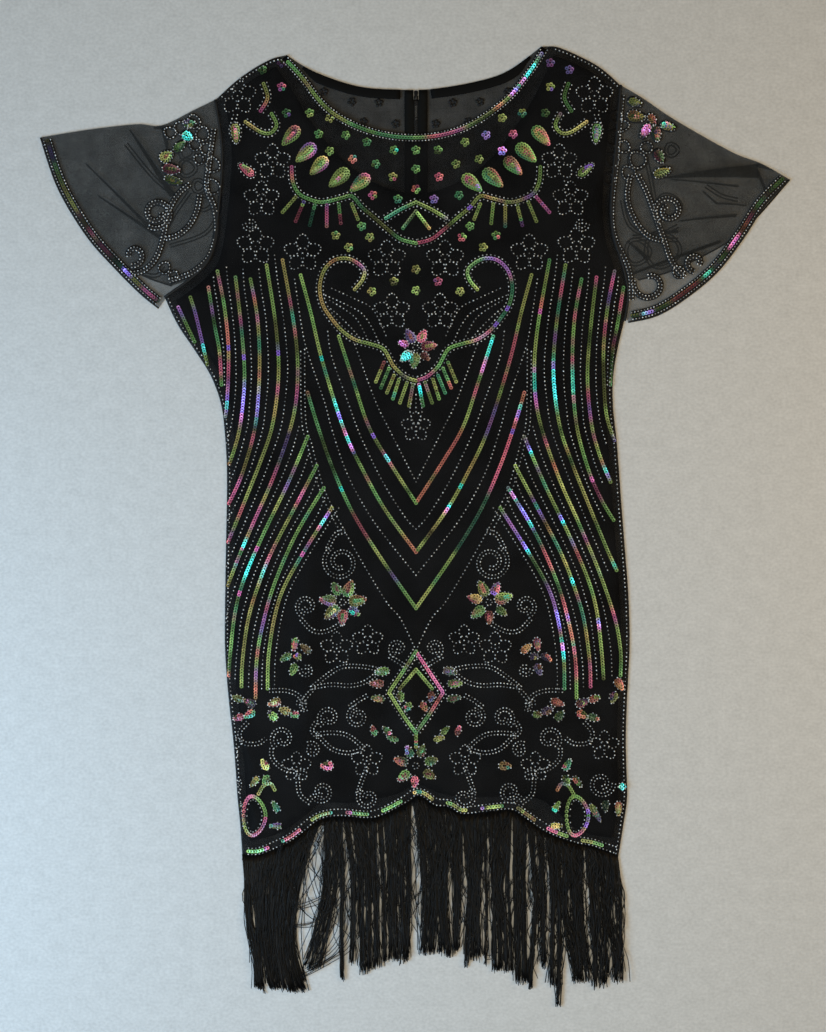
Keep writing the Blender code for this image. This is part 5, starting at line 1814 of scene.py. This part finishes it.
def build_fringe(name, node, count, seed, level, spread, shorter):
    """The fringe as single strands under a narrow heading."""
    paths = strand_paths(count, seed, level, spread, shorter)
    rng = np.random.default_rng(seed + 1)
    widths = rng.uniform(0.8, 1.25, (count, 1)) * np.linspace(1.0, 0.92, STRAND_POINTS)[None, :]
    if node == "fringe_front":
        loops = np.concatenate((loop_paths(level + spread, rng), stray_paths(level + spread, rng)))
        paths = np.concatenate((paths, loops))
        widths = np.concatenate((widths, np.full((len(loops), STRAND_POINTS), 0.85)))
        count = len(paths)
    points, faces = sweep(paths, ring_profile(STRAND_RADIUS, STRAND_RADIUS, 3), widths)
    obj = add_piece(name, points, faces, fringe_rayon, "fringe")
    shades = np.clip(rng.lognormal(-5.45, 0.55, count), 0.0015, 0.025)
    colours = shades[:, None] * np.array((0.98, 1.0, 1.04))
    paint(obj, "tint", np.repeat(colours, STRAND_POINTS * 3, axis=0))
    heading_line = shifted(hem_line, -2.0)
    heading_path = np.column_stack((heading_line, np.full(len(heading_line), level - 0.2)))
    points, faces = sweep(heading_path[None], ring_profile(2.0, 0.3, 8))
    heading = add_piece(name + "_heading", points, faces, thread_black, "fringe")
    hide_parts(node)
    return obj, heading


def build_back_embroidery(ring):
    """The back's pattern, which faces the floor, and the knots that show inside the neck."""
    work = Embroidery(31)
    body_embroidery(work, True)
    rows = np.vstack(work.sequins)
    tints = np.array(work.tints)
    clear_zip = np.abs(rows[:, 0] - ACROSS_SHIFT) > 4.0
    keep = kept_rows(rows, ring, SEQUIN_CLEAR) & clear_zip
    shape, faces = lens(SEQUIN_RADIUS, 0.16, 6)
    heights = np.full(int(keep.sum()), 0.55)
    points, groups = stamp(shape, [faces], rows[keep], heights, 0.05, 1.0, True)
    sequins = add_piece("sequins_back", points, groups, sequin_material, "net_back")
    paint(sequins, "tint", np.repeat(tints[keep], len(shape), axis=0))
    bead_rows = np.vstack(work.beads)
    clear_zip = np.abs(bead_rows[:, 0] - ACROSS_SHIFT) > 3.0
    bead_rows = bead_rows[kept_rows(bead_rows, ring, BEAD_CLEAR) & clear_zip]
    shape, faces = lens(0.8, 0.36, 5)
    heights = np.full(len(bead_rows), 0.5)
    points, groups = stamp(shape, [faces], bead_rows, heights, 0.0, 1.0, True)
    beads = add_piece("beads_back", points, groups, bead_material, "net_back")
    paint(beads, "tint", np.ones((len(points), 3)) * 0.9)
    knots = rows[keep]
    knots = knots[knots[:, 1] > HALF_LENGTH - 150.0]
    shape, faces = lens(1.9, 0.12, 7)
    points, groups = stamp(shape, [faces], knots, np.full(len(knots), BACK_NET_LEVEL + 0.16))
    backs = add_piece("thread_knots", points, groups, thread_black, "net_back")
    return [sequins, beads, backs]


def build_stage():
    """Floor, lights, world and camera."""
    half = 4000.0
    corners = np.array(((-half, -half, 0.0), (half, -half, 0.0), (half, half, 0.0), (-half, half, 0.0)))
    material, tree, shader = new_material("floor")
    vector = object_space(tree, (0.9, 1.1, 1.0))
    grain = remap(tree, noise(tree, vector, 330.0, 2.0), 0.3, 0.7, 0.0, 0.65)
    broad = remap(tree, noise(tree, vector, 70.0, 5.0), 0.3, 0.7, 0.0, 0.35)
    mottle = calculate(tree, "ADD", grain, broad)
    tree.links.new(blend_colours(tree, mottle, (0.59, 0.59, 0.575), (0.74, 0.74, 0.725)),
                   shader.inputs["Base Color"])
    shader.inputs["Roughness"].default_value = 0.9
    floor = add_piece("floor", corners, [np.array([[0, 1, 2, 3]])], material, None)

    world = bpy.data.worlds.new("studio")
    bpy.context.scene.world = world
    world.use_nodes = True
    background = world.node_tree.nodes["Background"]
    background.inputs["Color"].default_value = (0.95, 0.98, 1.0, 1.0)
    background.inputs["Strength"].default_value = 0.12

    def area_light(name, where, size, power, colour):
        lamp = bpy.data.lights.new(name, "AREA")
        lamp.shape = "SQUARE"
        lamp.size = size
        lamp.energy = power
        lamp.color = colour
        obj = bpy.data.objects.new(name, lamp)
        obj.location = where
        obj.rotation_euler = (-Vector(where)).to_track_quat("-Z", "Y").to_euler()
        bpy.context.scene.collection.objects.link(obj)

    area_light("overhead", (-0.1, -0.5, 2.4), 1.6, 23.0, (1.0, 0.87, 0.63))
    area_light("cool_left", COOL_LIGHT, 0.7, 14.0, (0.42, 0.7, 1.0))
    area_light("warm_right", (1.05, 0.1, 0.8), 0.6, 2.8, (1.0, 0.58, 0.15))

    lens_distance = 1.8
    view_height = 1.032
    camera = bpy.data.cameras.new("camera")
    camera.sensor_width = 36.0
    camera.lens = 36.0 * lens_distance / view_height
    eye = bpy.data.objects.new("camera", camera)
    eye.location = (-0.0022, 0.011, lens_distance)
    bpy.context.scene.collection.objects.link(eye)
    bpy.context.scene.camera = eye
    bpy.context.scene.view_settings.view_transform = "Standard"


net, slip, binding, lining_ring = build_front()
backs, back_ring = build_back(lining_ring)
tapes, teeth = build_zip()
build_slider()
fringe, heading = build_fringe("fringe_front_strands", "fringe_front", FRINGE_STRANDS, 41, 1.6, 2.2, 0.0)
under_fringe, under_heading = build_fringe(
    "fringe_back_strands", "fringe_back", FRINGE_BACK_STRANDS, 43, 0.6, 0.5, BACK_TIP_SHORTER)
work = Embroidery(7)
body_embroidery(work, False)
front_sequins = lay_sequins("sequins_front", work, front_level, front_ring, "net_front", 3)
front_beads = lay_beads("beads_front", work, front_level, front_ring, "net_front", 2)
neck_work = Embroidery(8)
neck_work.sequin_line(even(shifted(neck_line, -NECK_SEQUINS)[1:-1], SEQUIN_PITCH))
for inset in NECK_BEAD_INSETS:
    neck_work.bead_line(even(shifted(neck_line, -inset), MOTIF_PITCH))
neck_trim = lay_sequins("sequins_neck", neck_work, neck_level, body_outline, "binding")
neck_trim += lay_beads("beads_neck", neck_work, neck_level, body_outline, "binding")
back_work = build_back_embroidery(back_ring)
build_sleeve("left", SLEEVE_LEFT_TOP, ARMHOLE_LEFT, SLEEVE_LEFT_UPPER, SLEEVE_LEFT_LOWER)
build_sleeve("right", SLEEVE_RIGHT_TOP, ARMHOLE_RIGHT, SLEEVE_RIGHT_UPPER, SLEEVE_RIGHT_LOWER)

declare(net, (front_ring,))
declare(slip, (lining_ring,))
for number, (back, back_slip, back_binding, half, lining_half) in enumerate(backs):
    declare(back, (half,))
    declare(back_slip, (lining_half,))
for number, (tape, tape_ring) in enumerate(tapes):
    declare(tape, (tape_ring,))
build_stage()
